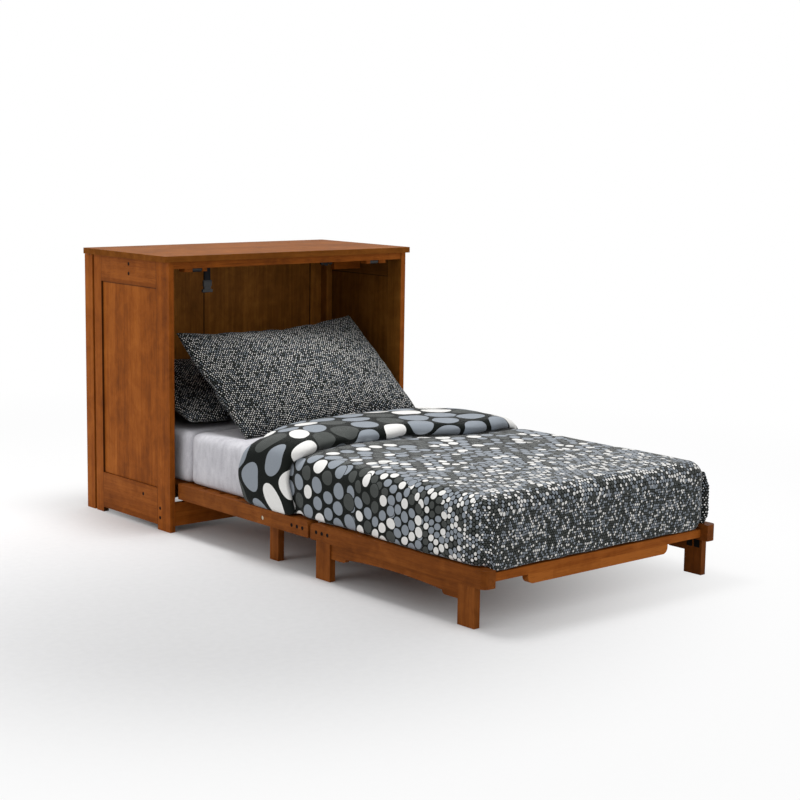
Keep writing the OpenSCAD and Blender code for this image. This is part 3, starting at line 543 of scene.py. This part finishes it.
def soft_box(name, lo, hi, radius, foot_radius, wrinkle, seed):
    """Rounded block with faintly wrinkled faces, cut into a fine grid."""
    step = 0.022
    size = hi - lo
    counts = [max(4, round(size[i] / step)) for i in range(3)]
    bm = bmesh.new()
    index = {}

    def vertex(i, j, k):
        key = (i, j, k)
        if key not in index:
            share = Vector((i / counts[0], j / counts[1], k / counts[2]))
            p = Vector((lo.x + size.x * share.x, lo.y + size.y * share.y, lo.z + size.z * share.z))
            r = foot_radius + (radius - foot_radius) * min(1.0, 2.2 * share.z)
            inner = Vector([min(max(p[a], lo[a] + r), hi[a] - r) for a in range(3)])
            away = p - inner
            if away.length > 0:
                away.normalize()
                p = inner + away * r
            else:
                away = Vector((0, 0, 1 if share.z > 0.5 else -1))
            height = math.sin(math.pi * unit((p.z - lo.z) / size.z))
            if share.z > 0.02:
                pull = wrinkle * (sway((p.x, p.y, p.z * 0.35), 0.09, seed) + 0.6 * sway(p, 0.035, seed + 2))
                p += away * (pull * (0.35 + 0.65 * height))
            index[key] = bm.verts.new(p)
        return index[key]

    def quad(*corners):
        bm.faces.new([vertex(*corner) for corner in corners])

    nx, ny, nz = counts
    for i in range(nx):
        for j in range(ny):
            quad((i, j, nz), (i + 1, j, nz), (i + 1, j + 1, nz), (i, j + 1, nz))
            quad((i, j, 0), (i, j + 1, 0), (i + 1, j + 1, 0), (i + 1, j, 0))
        for k in range(nz):
            quad((i, 0, k), (i + 1, 0, k), (i + 1, 0, k + 1), (i, 0, k + 1))
            quad((i, ny, k), (i, ny, k + 1), (i + 1, ny, k + 1), (i + 1, ny, k))
    for j in range(ny):
        for k in range(nz):
            quad((0, j, k), (0, j, k + 1), (0, j + 1, k + 1), (0, j + 1, k))
            quad((nx, j, k), (nx, j + 1, k), (nx, j + 1, k + 1), (nx, j, k + 1))
    piece = add_built(name, bm, SHEET)
    subdivide(piece)
    return piece


mattress_bodies = {"mattress_head": "cabinet", "mattress_mid": "near_section",
                   "mattress_foot": "far_section"}
mattress = {}
for seed, (name, body) in enumerate(mattress_bodies.items()):
    lo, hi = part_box(name)
    lo.z += 0.0006
    block = soft_box(name.replace("mattress", "covered_mattress"), lo, hi, radius=0.034, foot_radius=0.024,
                     wrinkle=0.0016, seed=5.0 + seed)
    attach(block, body)
    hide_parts(name)
    mattress[name] = block
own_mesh(mattress["mattress_head"])


# Duvet: a quilt over the mattress, tucked in along the rails and at the foot

QUILT_LO, QUILT_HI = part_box("duvet")
HALF_W = QUILT_HI.x - 0.004
TOP_Z = RAIL_TOP + 0.206
EDGE_R = 0.052
HEM_Z = RAIL_TOP + 0.004
HEM_R = 0.011
FLAT_W = HALF_W - EDGE_R
FOOT_Y = QUILT_LO.y + EDGE_R
ARC = EDGE_R * math.pi / 2
DROP = TOP_Z - EDGE_R - HEM_Z - HEM_R
HEM_ARC = HEM_R * math.pi / 2
REACH = ARC + DROP + HEM_ARC
HEAD_Y = bed_y(-0.31)
FOOT_SINK = HEM_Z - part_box("foot_rail")[1].z - 0.0016
GATHER_AT = 0.2
GATHER_OUT = 0.008
GATHER_SPREAD = 0.1

# The cuff's two edges: distance from the bed's middle over the cloth, and place behind the front plane
CUFF_HEAD = ((-0.73, -0.445), (-0.67, -0.402), (-0.592, -0.371), (-0.52, -0.402), (-0.47, -0.425),
             (-0.40, -0.372), (-0.30, -0.305), (-0.16, -0.252), (0.0, -0.232), (0.2, -0.222), (0.38, -0.232),
             (0.5, -0.305), (0.62, -0.345), (0.73, -0.375))
CUFF_REAR = ((-0.73, -0.715), (-0.66, -0.69), (-0.6, -0.655), (-0.54, -0.652), (-0.48, -0.69),
             (-0.35, -0.642), (-0.2, -0.634), (0.0, -0.665), (0.15, -0.712), (0.3, -0.745), (0.40, -0.735),
             (0.48, -0.705), (0.6, -0.70), (0.73, -0.70))
# The quilt's valley at the cuff's rear edge, and how its head end hides under the cuff
VALLEY_DEEP = 0.009
VALLEY_WIDE = 0.022
HEAD_TUCK = 0.035
HEAD_REACH = 0.16


def smooth_curve(stations, value):
    """Smooth curve through control stations, as Catmull-Rom."""
    places, levels = zip(*stations)
    last = len(places) - 1
    k = int(np.clip(np.searchsorted(places, value) - 1, 0, last - 1))
    t = unit((value - places[k]) / (places[k + 1] - places[k]))
    p0, p1, p2, p3 = levels[max(k - 1, 0)], levels[k], levels[k + 1], levels[min(k + 2, last)]
    return 0.5 * (2 * p1 + (p2 - p0) * t + (2 * p0 - 5 * p1 + 4 * p2 - p3) * t * t
                  + (3 * p1 - p0 - 3 * p2 + p3) * t ** 3)


def edge_profile(s):
    """Offset outward and height of the quilt's face at an arc length past its flat top, and its normal."""
    if s <= ARC:
        a = s / EDGE_R
        return EDGE_R * math.sin(a), TOP_Z - EDGE_R * (1 - math.cos(a)), math.sin(a), math.cos(a)
    s -= ARC
    if s <= DROP:
        return EDGE_R, TOP_Z - EDGE_R - s, 1.0, 0.0
    a = min((s - DROP) / HEM_R, math.pi / 2)
    return EDGE_R - HEM_R * (1 - math.cos(a)), HEM_Z + HEM_R - HEM_R * math.sin(a), math.cos(a), -math.sin(a)


def quilt_relief(p, s):
    """How far the quilt's face stands off its plain form: broad puffs, and drawn folds below the edge."""
    puff = 0.0045 * sway(p, 0.3, 11.0) + 0.0022 * sway(p, 0.11, 12.0) + 0.0010 * sway(p, 0.045, 13.0)
    side = unit((s - ARC * 0.5) / 0.06)
    folds = 0.0030 * sway((p[0], p[1], p[2] * 0.25), 0.055, 14.0) * side
    crown = 0.006 * (1 - (p[0] / HALF_W) ** 2) * (1 - side)
    across = p[0] if s == 0 else math.copysign(FLAT_W + s, p[0])
    hem = (p[1] - bed_y(smooth_curve(CUFF_REAR, across))) / VALLEY_WIDE
    return puff + folds + crown - VALLEY_DEEP * math.exp(-hem ** 2)


def head_line(across, y):
    """Place along the bed of a point of the quilt, whose head end follows the cuff's."""
    near = unit((y - HEAD_Y + HEAD_REACH) / HEAD_REACH)
    return y + (bed_y(smooth_curve(CUFF_HEAD, across)) - HEAD_TUCK - HEAD_Y) * near ** 1.5


def gather(s, angle):
    """How far the quilt stands out where it is gathered at the right foot corner."""
    below = unit((s - ARC * 0.45) / 0.05) * unit((REACH - s) / 0.04)
    place = (math.pi - angle) / (math.pi / 2)
    ridge = math.exp(-((place - GATHER_AT) / GATHER_SPREAD) ** 2)
    return GATHER_OUT * below * ridge * (1 + 0.16 * math.sin(s * 330) + 0.1 * math.sin(s * 610 + 1))


def build_quilt():
    step = 0.021
    columns = round(2 * FLAT_W / step)
    rows = round((HEAD_Y - FOOT_Y) / step)
    xs = np.linspace(-FLAT_W, FLAT_W, columns + 1)
    ys = np.linspace(HEAD_Y, FOOT_Y, rows + 1)
    points, faces, flat = [], [], []

    def put(point, facing, s):
        p = Vector(point)
        p += Vector(facing) * quilt_relief(p, s)
        points.append(p)
        return len(points) - 1

    top = [[put((x, head_line(x, y), TOP_Z), (0, 0, 1), 0.0) for x in xs] for y in ys]

    def face(ids, uvs):
        faces.append(tuple(ids))
        flat.append(tuple(uvs))

    for r in range(rows):
        for c in range(columns):
            corners = ((r, c), (r + 1, c), (r + 1, c + 1), (r, c + 1))
            face((top[i][j] for i, j in corners), ((xs[j], head_line(xs[j], ys[i])) for i, j in corners))

    # Columns of the border: inner point, its place on the bed, the way it faces, and its cloth's side
    fan = 16
    border = [(top[r][0], (-FLAT_W, y), 0.0, "left") for r, y in enumerate(ys)]
    for k in range(1, fan):
        border.append((top[-1][0], (-FLAT_W, FOOT_Y), k / fan * math.pi / 2,
                       "left" if k < fan / 2 else "foot"))
    for c, x in enumerate(xs):
        border.append((top[-1][c], (x, FOOT_Y), math.pi / 2, "foot"))
    for k in range(1, fan):
        border.append((top[-1][-1], (FLAT_W, FOOT_Y), (1 + k / fan) * math.pi / 2,
                       "foot" if k < fan / 2 else "right"))
    for r in range(rows, -1, -1):
        border.append((top[r][-1], (FLAT_W, ys[r]), math.pi, "right"))
    stops = [ARC * k / 6 for k in range(1, 7)] + [ARC + DROP * k / 7 for k in range(1, 8)]
    stops += [ARC + DROP + HEM_ARC * k / 3 for k in range(1, 4)]

    def layout(entry, s, side):
        """Flat place of a point of the border, as cloth of one side."""
        _, (x, y), angle, _ = entry
        swing = EDGE_R * math.sin(min(s / EDGE_R, math.pi / 2))
        if side == "left":
            return (-FLAT_W - s, head_line(-FLAT_W - s, y) - swing * angle)
        if side == "right":
            return (FLAT_W + s, head_line(FLAT_W + s, y) - swing * (math.pi - angle))
        return (x - swing * (math.pi / 2 - angle), y - s)

    lines = []
    for inner, (x, y), angle, _ in border:
        way = Vector((-math.cos(angle), -math.sin(angle), 0))
        line = [inner]
        sink = FOOT_SINK * unit(1 - 2.6 * abs(angle / (math.pi / 2) - 1) / 0.5)
        for s in stops:
            out, z, level, up = edge_profile(s)
            if angle > math.pi / 2:
                out += gather(s, angle)
            z -= sink * unit((s - ARC) / DROP)
            place = head_line(math.copysign(FLAT_W + s, x), y) if angle in (0.0, math.pi) else y
            line.append(put((x + way.x * out, place + way.y * out, z), way * level + Vector((0, 0, up)), s))
        lines.append(line)
    depths = [0.0] + stops
    for a in range(len(border) - 1):
        side = border[a + 1][3]
        for k in range(len(stops)):
            corners = ((a, k), (a, k + 1), (a + 1, k + 1), (a + 1, k))
            if lines[a][k] == lines[a + 1][k]:
                corners = corners[:3]
            face((lines[i][j] for i, j in corners), (layout(border[i], depths[j], side) for i, j in corners))
    return points, faces, flat


# Lines on the quilt where the dots change size, each on the top and on the sides
DOT_LINES = [(bed_y(top), bed_y(side)) for top, side in (
    (-1.60, -1.555), (-1.53, -1.49), (-1.36, -1.41), (-1.17, -1.31), (-0.98, -1.17), (-0.84, -0.97))]
# Each layer: spacing, the lines that bound it, its radii, and the shares of blue-grey and dark grey dots
DUVET_LAYERS = ((0.0085, None, 0, (0.33, 0.42), (0.32, 0.47)), (0.0130, 0, 1, (0.35, 0.43), (0.38, 0.34)),
                (0.0190, 1, 2, (0.38, 0.45), (0.44, 0.27)), (0.0265, 2, 3, (0.38, 0.45), (0.46, 0.28)),
                (0.0360, 3, 4, (0.38, 0.45), (0.48, 0.29)), (0.0470, 4, 5, (0.37, 0.44), (0.46, 0.34)),
                (0.0620, 5, None, (0.36, 0.44), (0.44, 0.38)))
# Share of its spacing by which a layer reaches past a line
LINE_REACH = 0.24


def duvet_dots():
    """The quilt's layers of dots, which reach a little past the lines between them."""
    layers = []
    for cell, low, high, radii, shares in DUVET_LAYERS:
        foot_bound = None if low is None else tuple(v - LINE_REACH * cell for v in DOT_LINES[low])
        head_bound = None if high is None else tuple(v + LINE_REACH * cell for v in DOT_LINES[high])
        layers.append(Layer(cell, foot_bound, head_bound, radii, 0.10, shares))
    return layers


quilt_cloth = dotted("dotted_cotton", duvet_dots(), 1.2, 0.5)
quilt = add_mesh("duvet_quilt", *build_quilt(), quilt_cloth)
body_of_quilt = quilt.modifiers.new("filling", "SOLIDIFY")
body_of_quilt.thickness = 0.009
body_of_quilt.offset = -1.0
subdivide(quilt)

# Cuff: the quilt's head end, turned back over it

CUFF_PUFF = 0.040
CUFF_SHARP = 0.011
# How far the cuff sinks into the quilt, and where its dots lie on the cloth
CUFF_SINK = 0.006
CUFF_SHEET_X = 3.0


def quilt_face(across, y):
    """Point on the quilt's outer face at an arc length across it from the middle, and its normal."""
    side = -1.0 if across < 0 else 1.0
    beyond = abs(across) - FLAT_W
    if beyond <= 0:
        p, n, s = Vector((across, y, TOP_Z)), Vector((0, 0, 1)), 0.0
    else:
        out, z, level, up = edge_profile(beyond)
        p, n, s = Vector((side * (FLAT_W + out), y, z)), Vector((side * level, 0, up)), beyond
    return p + n * quilt_relief(p, s), n


def cuff_section():
    """Section of the turned-back part as (part, place along, height share) in one closed line."""
    turn = [math.pi * (k / 8 - 0.5) for k in range(9)]
    line = [("head", math.cos(a), math.sin(a)) for a in turn]
    line += [("top", k / 16, 0.0) for k in range(1, 16)]
    line += [("rear", math.cos(a), -math.sin(a)) for a in turn]
    return line + [("under", 1 - k / 10, 0.0) for k in range(1, 10)]


# The cuff stays between the cabinet's stiles when the bed is put away
STILE_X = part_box("right_stiles")[0].x - 0.0008
SIDE_EASE = 0.014


def within_sides(x):
    """Distance from the middle, eased so that it stays short of the stiles."""
    past = x - (STILE_X - SIDE_EASE)
    return x if past < 0 else STILE_X - SIDE_EASE + SIDE_EASE * math.tanh(past / SIDE_EASE)


def build_cuff():
    section = cuff_section()
    stations = 96
    limit = FLAT_W + REACH - 0.004
    points, places = [], []
    for i in range(stations + 1):
        across = -limit + 2 * limit * i / stations
        tuck = 1 - unit((abs(across) - limit + 0.09) / 0.09) ** 2 * 0.75
        tuck *= 1 - 0.45 * unit((across - 0.40) / 0.08)
        shift = 0.012 * sway((across, 0.0, 0.0), 0.06, 21.0) + 0.014 * sway((across, 0.0, 0.0), 0.21, 22.0)
        head = bed_y(smooth_curve(CUFF_HEAD, across)) - CUFF_SHARP
        rear = bed_y(smooth_curve(CUFF_REAR, across)) + shift + CUFF_PUFF / 2
        run = 0.0
        last = None
        for part, a, b in section:
            y = head + (rear - head) * a
            height = -0.004
            if part == "head":
                y = head + CUFF_SHARP * a
                height = CUFF_SHARP * (1 + b) - CUFF_SINK
            elif part == "top":
                swell = math.sin(math.pi * min(1.0, a * 1.25) / 2) ** 0.8
                low = 2 * CUFF_SHARP - CUFF_SINK
                height = low + (CUFF_PUFF - low) * swell * tuck
            elif part == "rear":
                radius = CUFF_PUFF / 2 * tuck
                y = rear - radius * a * 1.25
                height = radius * (1 + b)
            base, normal = quilt_face(across, y)
            if part in ("top", "rear"):
                near_rear = a if part == "top" else 1.0
                height += 0.0055 * sway((across, y, 0.0), 0.16, 23.0) * tuck
                height += 0.0028 * sway((across, y * 0.35, 0.0), 0.05, 24.0) * near_rear * tuck
            p = base + normal * height
            p.x = math.copysign(within_sides(abs(p.x)), p.x)
            if last is not None:
                run += (p - last).length
            last = p
            points.append(p)
            places.append((across + CUFF_SHEET_X, bed_y(-0.2) - run))
    faces = tube_faces(tube(stations + 1, len(section)), len(section))
    return points, faces, [[places[k] for k in face] for face in faces]


CUFF_DOTS = Layer(0.122, None, None, (0.37, 0.45), 0.16, (0.42, 0.20))
cuff_cloth = dotted("dotted_cotton_large", (CUFF_DOTS,), 0.8)
cuff = add_mesh("duvet_cuff", *build_cuff(), cuff_cloth)
subdivide(cuff)

# Gathered end of the foot's cloth, a crimped fin at the right corner

FIN_X = (0.484, 0.5235)
FIN_Y = bed_y(-1.563)
FIN_Z = (RAIL_TOP - 0.012, TOP_Z - 0.034)
FIN_HALF = 0.0095
FIN_SHEET_Y = bed_y(-2.2)


def build_fin():
    rings, around = 56, 14
    tall = FIN_Z[1] - FIN_Z[0]
    wide = FIN_X[1] - FIN_X[0]
    points = []
    for i in range(rings + 1):
        share = i / rings
        z = FIN_Z[0] + tall * share
        swell = min(1.0, 0.35 + 3.2 * share, 0.3 + 2.4 * (1 - share))
        reach = swell * (1 + 0.08 * math.sin(z * 610) + 0.11 * sway((0, 0, z), 0.02, 41.0))
        for k in range(around):
            a = -2 * math.pi * k / around
            crimp = 1 + 0.22 * math.sin(z * 610 + 1.5 * math.cos(a)) * max(0.0, math.cos(a))
            x = FIN_X[0] + wide * (0.5 + 0.5 * math.cos(a)) * reach
            y = FIN_Y + FIN_HALF * math.sin(a) * crimp * (0.5 + 0.5 * swell)
            points.append(Vector((x, y, z)))
    corners = tube(rings + 1, around)
    step = 2 * wide / around
    flat = [[(step * (around - k), FIN_SHEET_Y + tall * i / rings) for i, k in face]
            for face in corners[:-2]]
    flat += [[(0.0, FIN_SHEET_Y)] * around] * 2
    return points, tube_faces(corners, around), flat


# Smaller dots, more of them dark grey: painted shade on the fin, which stands in shadow
FIN_SHADE_DOTS = Layer(0.0092, None, None, (0.16, 0.28), 0.25, (0.30, 0.45))
fin_shade_cloth = dotted("dotted_cotton_fin_shaded", (FIN_SHADE_DOTS,), 1.0)
fin = add_mesh("duvet_gather", *build_fin(), fin_shade_cloth)
subdivide(fin)

for piece in (quilt, cuff, fin):
    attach(piece, "near_section")
    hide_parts("duvet")
    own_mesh(piece)


# Pillows: two faces sewn round the rim and filled

PILLOW_W = 0.95
PILLOW_L = 0.50
PILLOW_T = 0.16
# Place of the lower face's dots on the cloth, beside those of the upper face
LOWER_SHEET_X = 2.0
# Share of the filled form in the case, the rest being its smooth form
PUFFED = 0.4
# Between the corners, how far the top edge is drawn in and the foot and sides are filled out
TOP_SAG = 0.016
FOOT_FILL = 0.018
SIDE_FILL = 0.002
CREASE_DEEP = 0.0035
# The front pillow lies this far from its place in the CAD
FRONT_SHIFT = Vector((0.010, 0.0, 0.004))
# Node and piece, and how far each pillow is tilted back and turned, with its seed
PILLOWS = (("pillow_front", "pillow_case_front", 44.0, 10.0, 31.0),
           ("pillow_back", "pillow_case_back", 18.0, 0.0, 37.0))


def pillow_sheets():
    """Crowned two-layer case with a shared rim: points, faces and the flat layout of each corner."""
    nx, ny = 84, 46
    points, index = [], {}
    for layer in (1, -1):
        for i in range(nx + 1):
            for j in range(ny + 1):
                if layer == -1 and (i in (0, nx) or j in (0, ny)):
                    index[(-1, i, j)] = index[(1, i, j)]
                    continue
                u, v = 2 * i / nx - 1, 2 * j / ny - 1
                bulge = ((1 - u * u) * (1 - v * v)) ** 0.46
                points.append(Vector((u * PILLOW_W / 2, v * PILLOW_L / 2, layer * bulge * PILLOW_T * 0.5)))
                index[(layer, i, j)] = len(points) - 1
    faces, flat = [], []
    for layer in (1, -1):
        for i in range(nx):
            for j in range(ny):
                cell = [(i, j), (i + 1, j), (i + 1, j + 1), (i, j + 1)]
                if layer == -1:
                    cell.reverse()
                faces.append(tuple(index[(layer, a, b)] for a, b in cell))
                aside = LOWER_SHEET_X if layer < 0 else 0.0
                flat.append(tuple((a / nx * PILLOW_W + aside, b / ny * PILLOW_L) for a, b in cell))
    return points, faces, flat


def read_points(piece):
    return np.array([v.co for v in piece.data.vertices])


def write_points(piece, points):
    piece.data.vertices.foreach_set("co", points.astype(np.float32).ravel())
    piece.data.update()


def filled_pillow(name, material, seed):
    """A pillow in its own frame, inflated as cloth."""
    points, faces, flat = pillow_sheets()
    for p in points:
        p.z += 0.004 * sway(p, 0.12, seed)
    piece = add_mesh(name, points, faces, flat, material)
    plain = read_points(piece)
    inflate(piece)
    fit_pillow(piece)
    write_points(piece, PUFFED * read_points(piece) + (1 - PUFFED) * plain)
    settle_pillow(piece, seed)
    subdivide(piece)
    return piece


def inflate(piece):
    """Fills the case by pressure in a short cloth simulation."""
    scene = bpy.context.scene
    cloth = piece.modifiers.new("cloth", "CLOTH")
    settings = cloth.settings
    settings.quality = 6
    settings.mass = 0.25
    settings.tension_stiffness = 28
    settings.compression_stiffness = 22
    settings.shear_stiffness = 12
    settings.bending_stiffness = 0.35
    settings.air_damping = 2.0
    settings.use_pressure = True
    settings.uniform_pressure_force = 5.0
    settings.effector_weights.gravity = 0.0
    cloth.point_cache.frame_start = 1
    cloth.point_cache.frame_end = 30
    for step in range(1, 27):
        scene.frame_set(step)
    filled = read_points(piece.evaluated_get(bpy.context.evaluated_depsgraph_get()))
    piece.modifiers.remove(cloth)
    write_points(piece, filled)
    scene.frame_set(1)


def fit_pillow(piece):
    """Scales the filled case to the pillow's real size."""
    points = read_points(piece)
    lo, hi = points.min(0), points.max(0)
    write_points(piece, (points - (lo + hi) / 2) * (np.array((PILLOW_W, PILLOW_L, PILLOW_T)) / (hi - lo)))


def settle_pillow(piece, seed):
    """Shapes the case's edges between its corners and creases it toward a lower corner."""
    for v in piece.data.vertices:
        u, w = 2 * v.co.x / PILLOW_W, 2 * v.co.y / PILLOW_L
        middle = max(0.0, 1 - u * u)
        v.co.y -= middle * (TOP_SAG * max(0.0, w) ** 2 + FOOT_FILL * max(0.0, -w) ** 2)
        v.co.x += SIDE_FILL * u * abs(u) * max(0.0, 1 - w * w)
        crease = unit((u - 0.3) / 0.35) * unit((-w - 0.15) / 0.4)
        crease *= max(0.0, 1 - abs(u)) ** 0.3
        if v.co.z > 0:
            v.co.z += CREASE_DEEP * crease * math.sin(v.co.x * 175 + 14 * v.co.y + sway(v.co, 0.09, seed))
    piece.data.update()


PILLOW_DOTS = Layer(0.0092, None, None, (0.21, 0.29), 0.10, (0.30, 0.12))
PILLOW_CLOTH = {"layers": (PILLOW_DOTS,), "wobble": 0.8, "sheen": 0.06, "turn": 0.3}
speckled = dotted("dotted_cotton_fine", **PILLOW_CLOTH)
# The front pillow's cloth carries painted shade of the cabinet, darkest at its left end
shaded_speckled = dotted("dotted_cotton_shaded", shaded=(-0.5, 0.0, 0.68), **PILLOW_CLOTH)
for node_name, name, tilt, turn, seed in PILLOWS:
    lo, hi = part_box(node_name)
    pillow = filled_pillow(name, shaded_speckled if turn else speckled, seed)
    place = Matrix.Translation((lo + hi) / 2 + (FRONT_SHIFT if turn else Vector()))
    place = place @ Matrix.Rotation(math.radians(turn), 4, "Z") @ Matrix.Rotation(math.radians(tilt), 4, "X")
    pillow.data.transform(place)
    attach(pillow, "cabinet")
    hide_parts(node_name)
    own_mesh(pillow)


# Straps and their buckles under the cabinet's top

STRAP_W = 0.025
STRAP_T = 0.0017
BUCKLE_EDGE = 0.0012
strap_lo, strap_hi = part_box("straps")
strap_top = strap_hi.z - 0.0005
left_x, left_y = strap_lo.x + STRAP_W / 2, strap_lo.y + 0.0009
right_x, right_y = strap_hi.x - STRAP_W / 2, strap_hi.y - 0.0049
# Blocks of the buckles in millimetres: place across, half width, half thickness, and top and bottom below
# the buckle's own place. The left one is closed. The right one has a bar, a ladder, side rails and arms.
LEFT_BUCKLE = ((0, 18.48, 4.0, 0, 5.28), (0, 17.6, 5.0, 4.4, 22.0), (0, 14.52, 4.0, 20.24, 33.44),
               (0, 22.0, 4.5, 32.56, 44.0))
RIGHT_BUCKLE = ((0, 28.0, 4.5, 3.52, 9.92), (0, 25.2, 3.15, 0, 1.6), (0, 8.4, 2.25, 9.6, 16.0),
                (0, 20.16, 5.175, 5.44, 8.0), (-24.08, 1.8, 3.15, 1.0, 3.84), (24.08, 1.8, 3.15, 1.0, 3.84),
                (-20.72, 3.0, 2.7, 9.28, 14.4), (20.72, 3.0, 2.7, 9.28, 14.4))


def strap(name, x, y, bottom):
    """Webbing that hangs doubled from the top, with a slack loop at its end."""
    start, low = bottom + 0.006, y - 0.0012
    path = [(low, strap_top + (start - strap_top) * k / 8) for k in range(9)]
    for k in range(1, 8):
        a = math.pi * k / 8
        path.append((low + 0.0022 * (1 - math.cos(a)), start - 0.006 * math.sin(a)))
    path += [(y + 0.0032 - 0.0010 * k / 6, start + (strap_top - bottom - 0.008) * k / 6) for k in range(7)]
    path = [Vector((x, *place)) for place in path]
    points = []
    for k, p in enumerate(path):
        along = (path[min(k + 1, len(path) - 1)] - path[max(k - 1, 0)]).normalized()
        out = Vector((0, -along.z, along.y)) * STRAP_T / 2
        for across, side in ((-1, 1), (1, 1), (1, -1), (-1, -1)):
            points.append(p + Vector((across * STRAP_W / 2, 0, 0)) + out * side)
    piece = add_mesh(name, points, tube_faces(tube(len(path), 4), 4), None, WEBBING)
    ease_edges(piece, STRAP_T * 0.3, harden=False)
    return piece


def buckle(name, x, y, z, blocks):
    """One mesh of the blocks of a buckle that hangs at z, with their edges eased."""
    bm = bmesh.new()
    for aside, wide, thick, top, bottom in blocks:
        middle = Vector((x + aside / 1000, y, z - (top + bottom) / 2000))
        for v in bmesh.ops.create_cube(bm, size=1.0)["verts"]:
            size = (wide / 500, thick / 500, (bottom - top) / 1000)
            v.co = Vector([a * b for a, b in zip(v.co, size)]) + middle
    piece = add_built(name, bm, BLACK_PLASTIC)
    ease_edges(piece, BUCKLE_EDGE, 3)
    return piece


left_strap = strap("strap_left", left_x, left_y, strap_lo.z - 0.002)
right_strap = strap("strap_right", right_x, right_y, strap_lo.z + 0.024)
buckle_left = buckle("buckle_left", left_x, left_y + 0.001, strap_lo.z - 0.001, LEFT_BUCKLE)
buckle_right = buckle("buckle_right", right_x, right_y, strap_lo.z + 0.030, RIGHT_BUCKLE)
hung = ((left_strap, "straps", "webbing"), (right_strap, "straps", "webbing"),
        (buckle_left, "buckles", "roller_plastic"), (buckle_right, "buckles", "roller_plastic"))
for piece, node_name, slot_name in hung:
    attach(piece, "cabinet")
    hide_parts(node_name)
    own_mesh(piece)


# Floor, light and camera

# Painted shade on the floor, a greyer pool that stands for the light's falloff: its middle, and the
# distances from it between which it turns pale
POOL_MIDDLE = (-1.0, -0.65, 0.0)
POOL_EDGE = 0.2
POOL_END = 2.2
SHADED_POOL_TONE = (0.59, 0.59, 0.595, 1.0)
PALE_TONE = (0.93, 0.93, 0.935, 1.0)
# Middle of the floor round the bed, the distances from it between which a share of its tone fades to a
# painted white glow that only the camera sees, and the distances between which the rest does
FADE_MIDDLE = (-0.9, -0.1, 0.0)
FADE_START = 0.7
FADE_END = 1.9
FADE_SHARE = 0.82
GLOW_REST_START = 2.6
GLOW_REST_END = 4.5
# Strength of the white surroundings as a light, beside 1 for what the camera sees of them
WORLD_LEVEL = 0.70


def studio_floor():
    """Pale floor with a painted grey pool, that keeps the shadows and, seen by the camera, glows white far
    from the bed.
    """
    half = 14.0
    points = [(-half, -half, 0), (half, -half, 0), (half, half, 0), (-half, half, 0)]
    s = Shade("studio_floor")
    place = s.coordinates()
    far = s.length(s.vector("SUBTRACT", place, FADE_MIDDLE))
    off = s.length(s.vector("SUBTRACT", place, POOL_MIDDLE))
    tone = s.mix(s.map_range(off, POOL_EDGE, POOL_END), SHADED_POOL_TONE, PALE_TONE)
    grain = s.ramp(s.noise(place, 40.0, 2.0, 0.5), ((0.3, grey(0.5)), (0.7, grey(1.0))))
    s.finish(Base_Color=s.mix(0.04, tone, grain), Roughness=0.75, Specular_IOR_Level=0.15)
    # Painted white glow, seen only by the camera
    white = s.node("Emission", {"Color": grey(1.0), "Strength": 1.0}).outputs[0]
    fade = s.map_range(far, FADE_START, FADE_END, 0.0, FADE_SHARE)
    rest_of_glow = s.map_range(far, GLOW_REST_START, GLOW_REST_END, 0.0, 1 - FADE_SHARE)
    whiteness = s.math("MULTIPLY", s.math("ADD", fade, rest_of_glow), s.seen())
    blend = s.node("MixShader", {0: whiteness, 1: s.shader.outputs[0], 2: white}).outputs[0]
    s.set(s.output.inputs[0], blend)
    floor = add_mesh("studio_floor", points, [(0, 1, 2, 3)], None, s.material)
    floor.location.z = -0.0004


def studio_light():
    world = bpy.data.worlds.new("studio")
    bpy.context.scene.world = world
    world.use_nodes = True
    n = Nodes(world.node_tree)
    background = n.tree.nodes["Background"]
    n.set(background.inputs[0], grey(1.0))
    n.set(background.inputs[1], n.lerp(n.seen(), WORLD_LEVEL, 1.0))


def area_lamp(name, place, target, size, power):
    lamp = bpy.data.lights.new(name, "AREA")
    lamp.shape = "RECTANGLE"
    lamp.size, lamp.size_y = size
    lamp.energy = power
    holder = add_to_scene(name, lamp)
    holder.location = place
    holder.rotation_euler = (Vector(target) - Vector(place)).to_track_quat("-Z", "Y").to_euler()


def photo_camera():
    """Camera at the photograph's place: a long lens at chest height, a little off level."""
    yaw, pitch, roll = (math.radians(v) for v in (40.878, -8.667, 0.836))
    forward = Vector((math.sin(yaw) * math.cos(pitch), math.cos(yaw) * math.cos(pitch), math.sin(pitch)))
    right = Vector((math.cos(yaw), -math.sin(yaw), 0))
    up = right.cross(forward)
    rolled_right = right * math.cos(roll) + up * math.sin(roll)
    rolled_up = up * math.cos(roll) - right * math.sin(roll)
    camera = bpy.data.cameras.new("photo_camera")
    camera.lens = 76.96
    camera.sensor_width = 36.0
    camera.clip_start = 0.1
    camera.clip_end = 60.0
    holder = add_to_scene("photo_camera", camera)
    turn = Matrix((rolled_right, rolled_up, -forward)).transposed().to_4x4()
    holder.matrix_world = Matrix.Translation((-3.8492, -4.5453, 1.4076)) @ turn
    bpy.context.scene.camera = holder


studio_floor()
studio_light()
area_lamp("top_light", (-0.25, 0.35, 3.4), (0.0, 0.0, 0.2), (0.9, 0.9), 72.0)
area_lamp("left_light", (-3.6, 0.5, 1.8), (-0.5, 0.6, 0.6), (1.6, 1.6), 15.0)
photo_camera()
bpy.context.scene.view_settings.view_transform = "Standard"
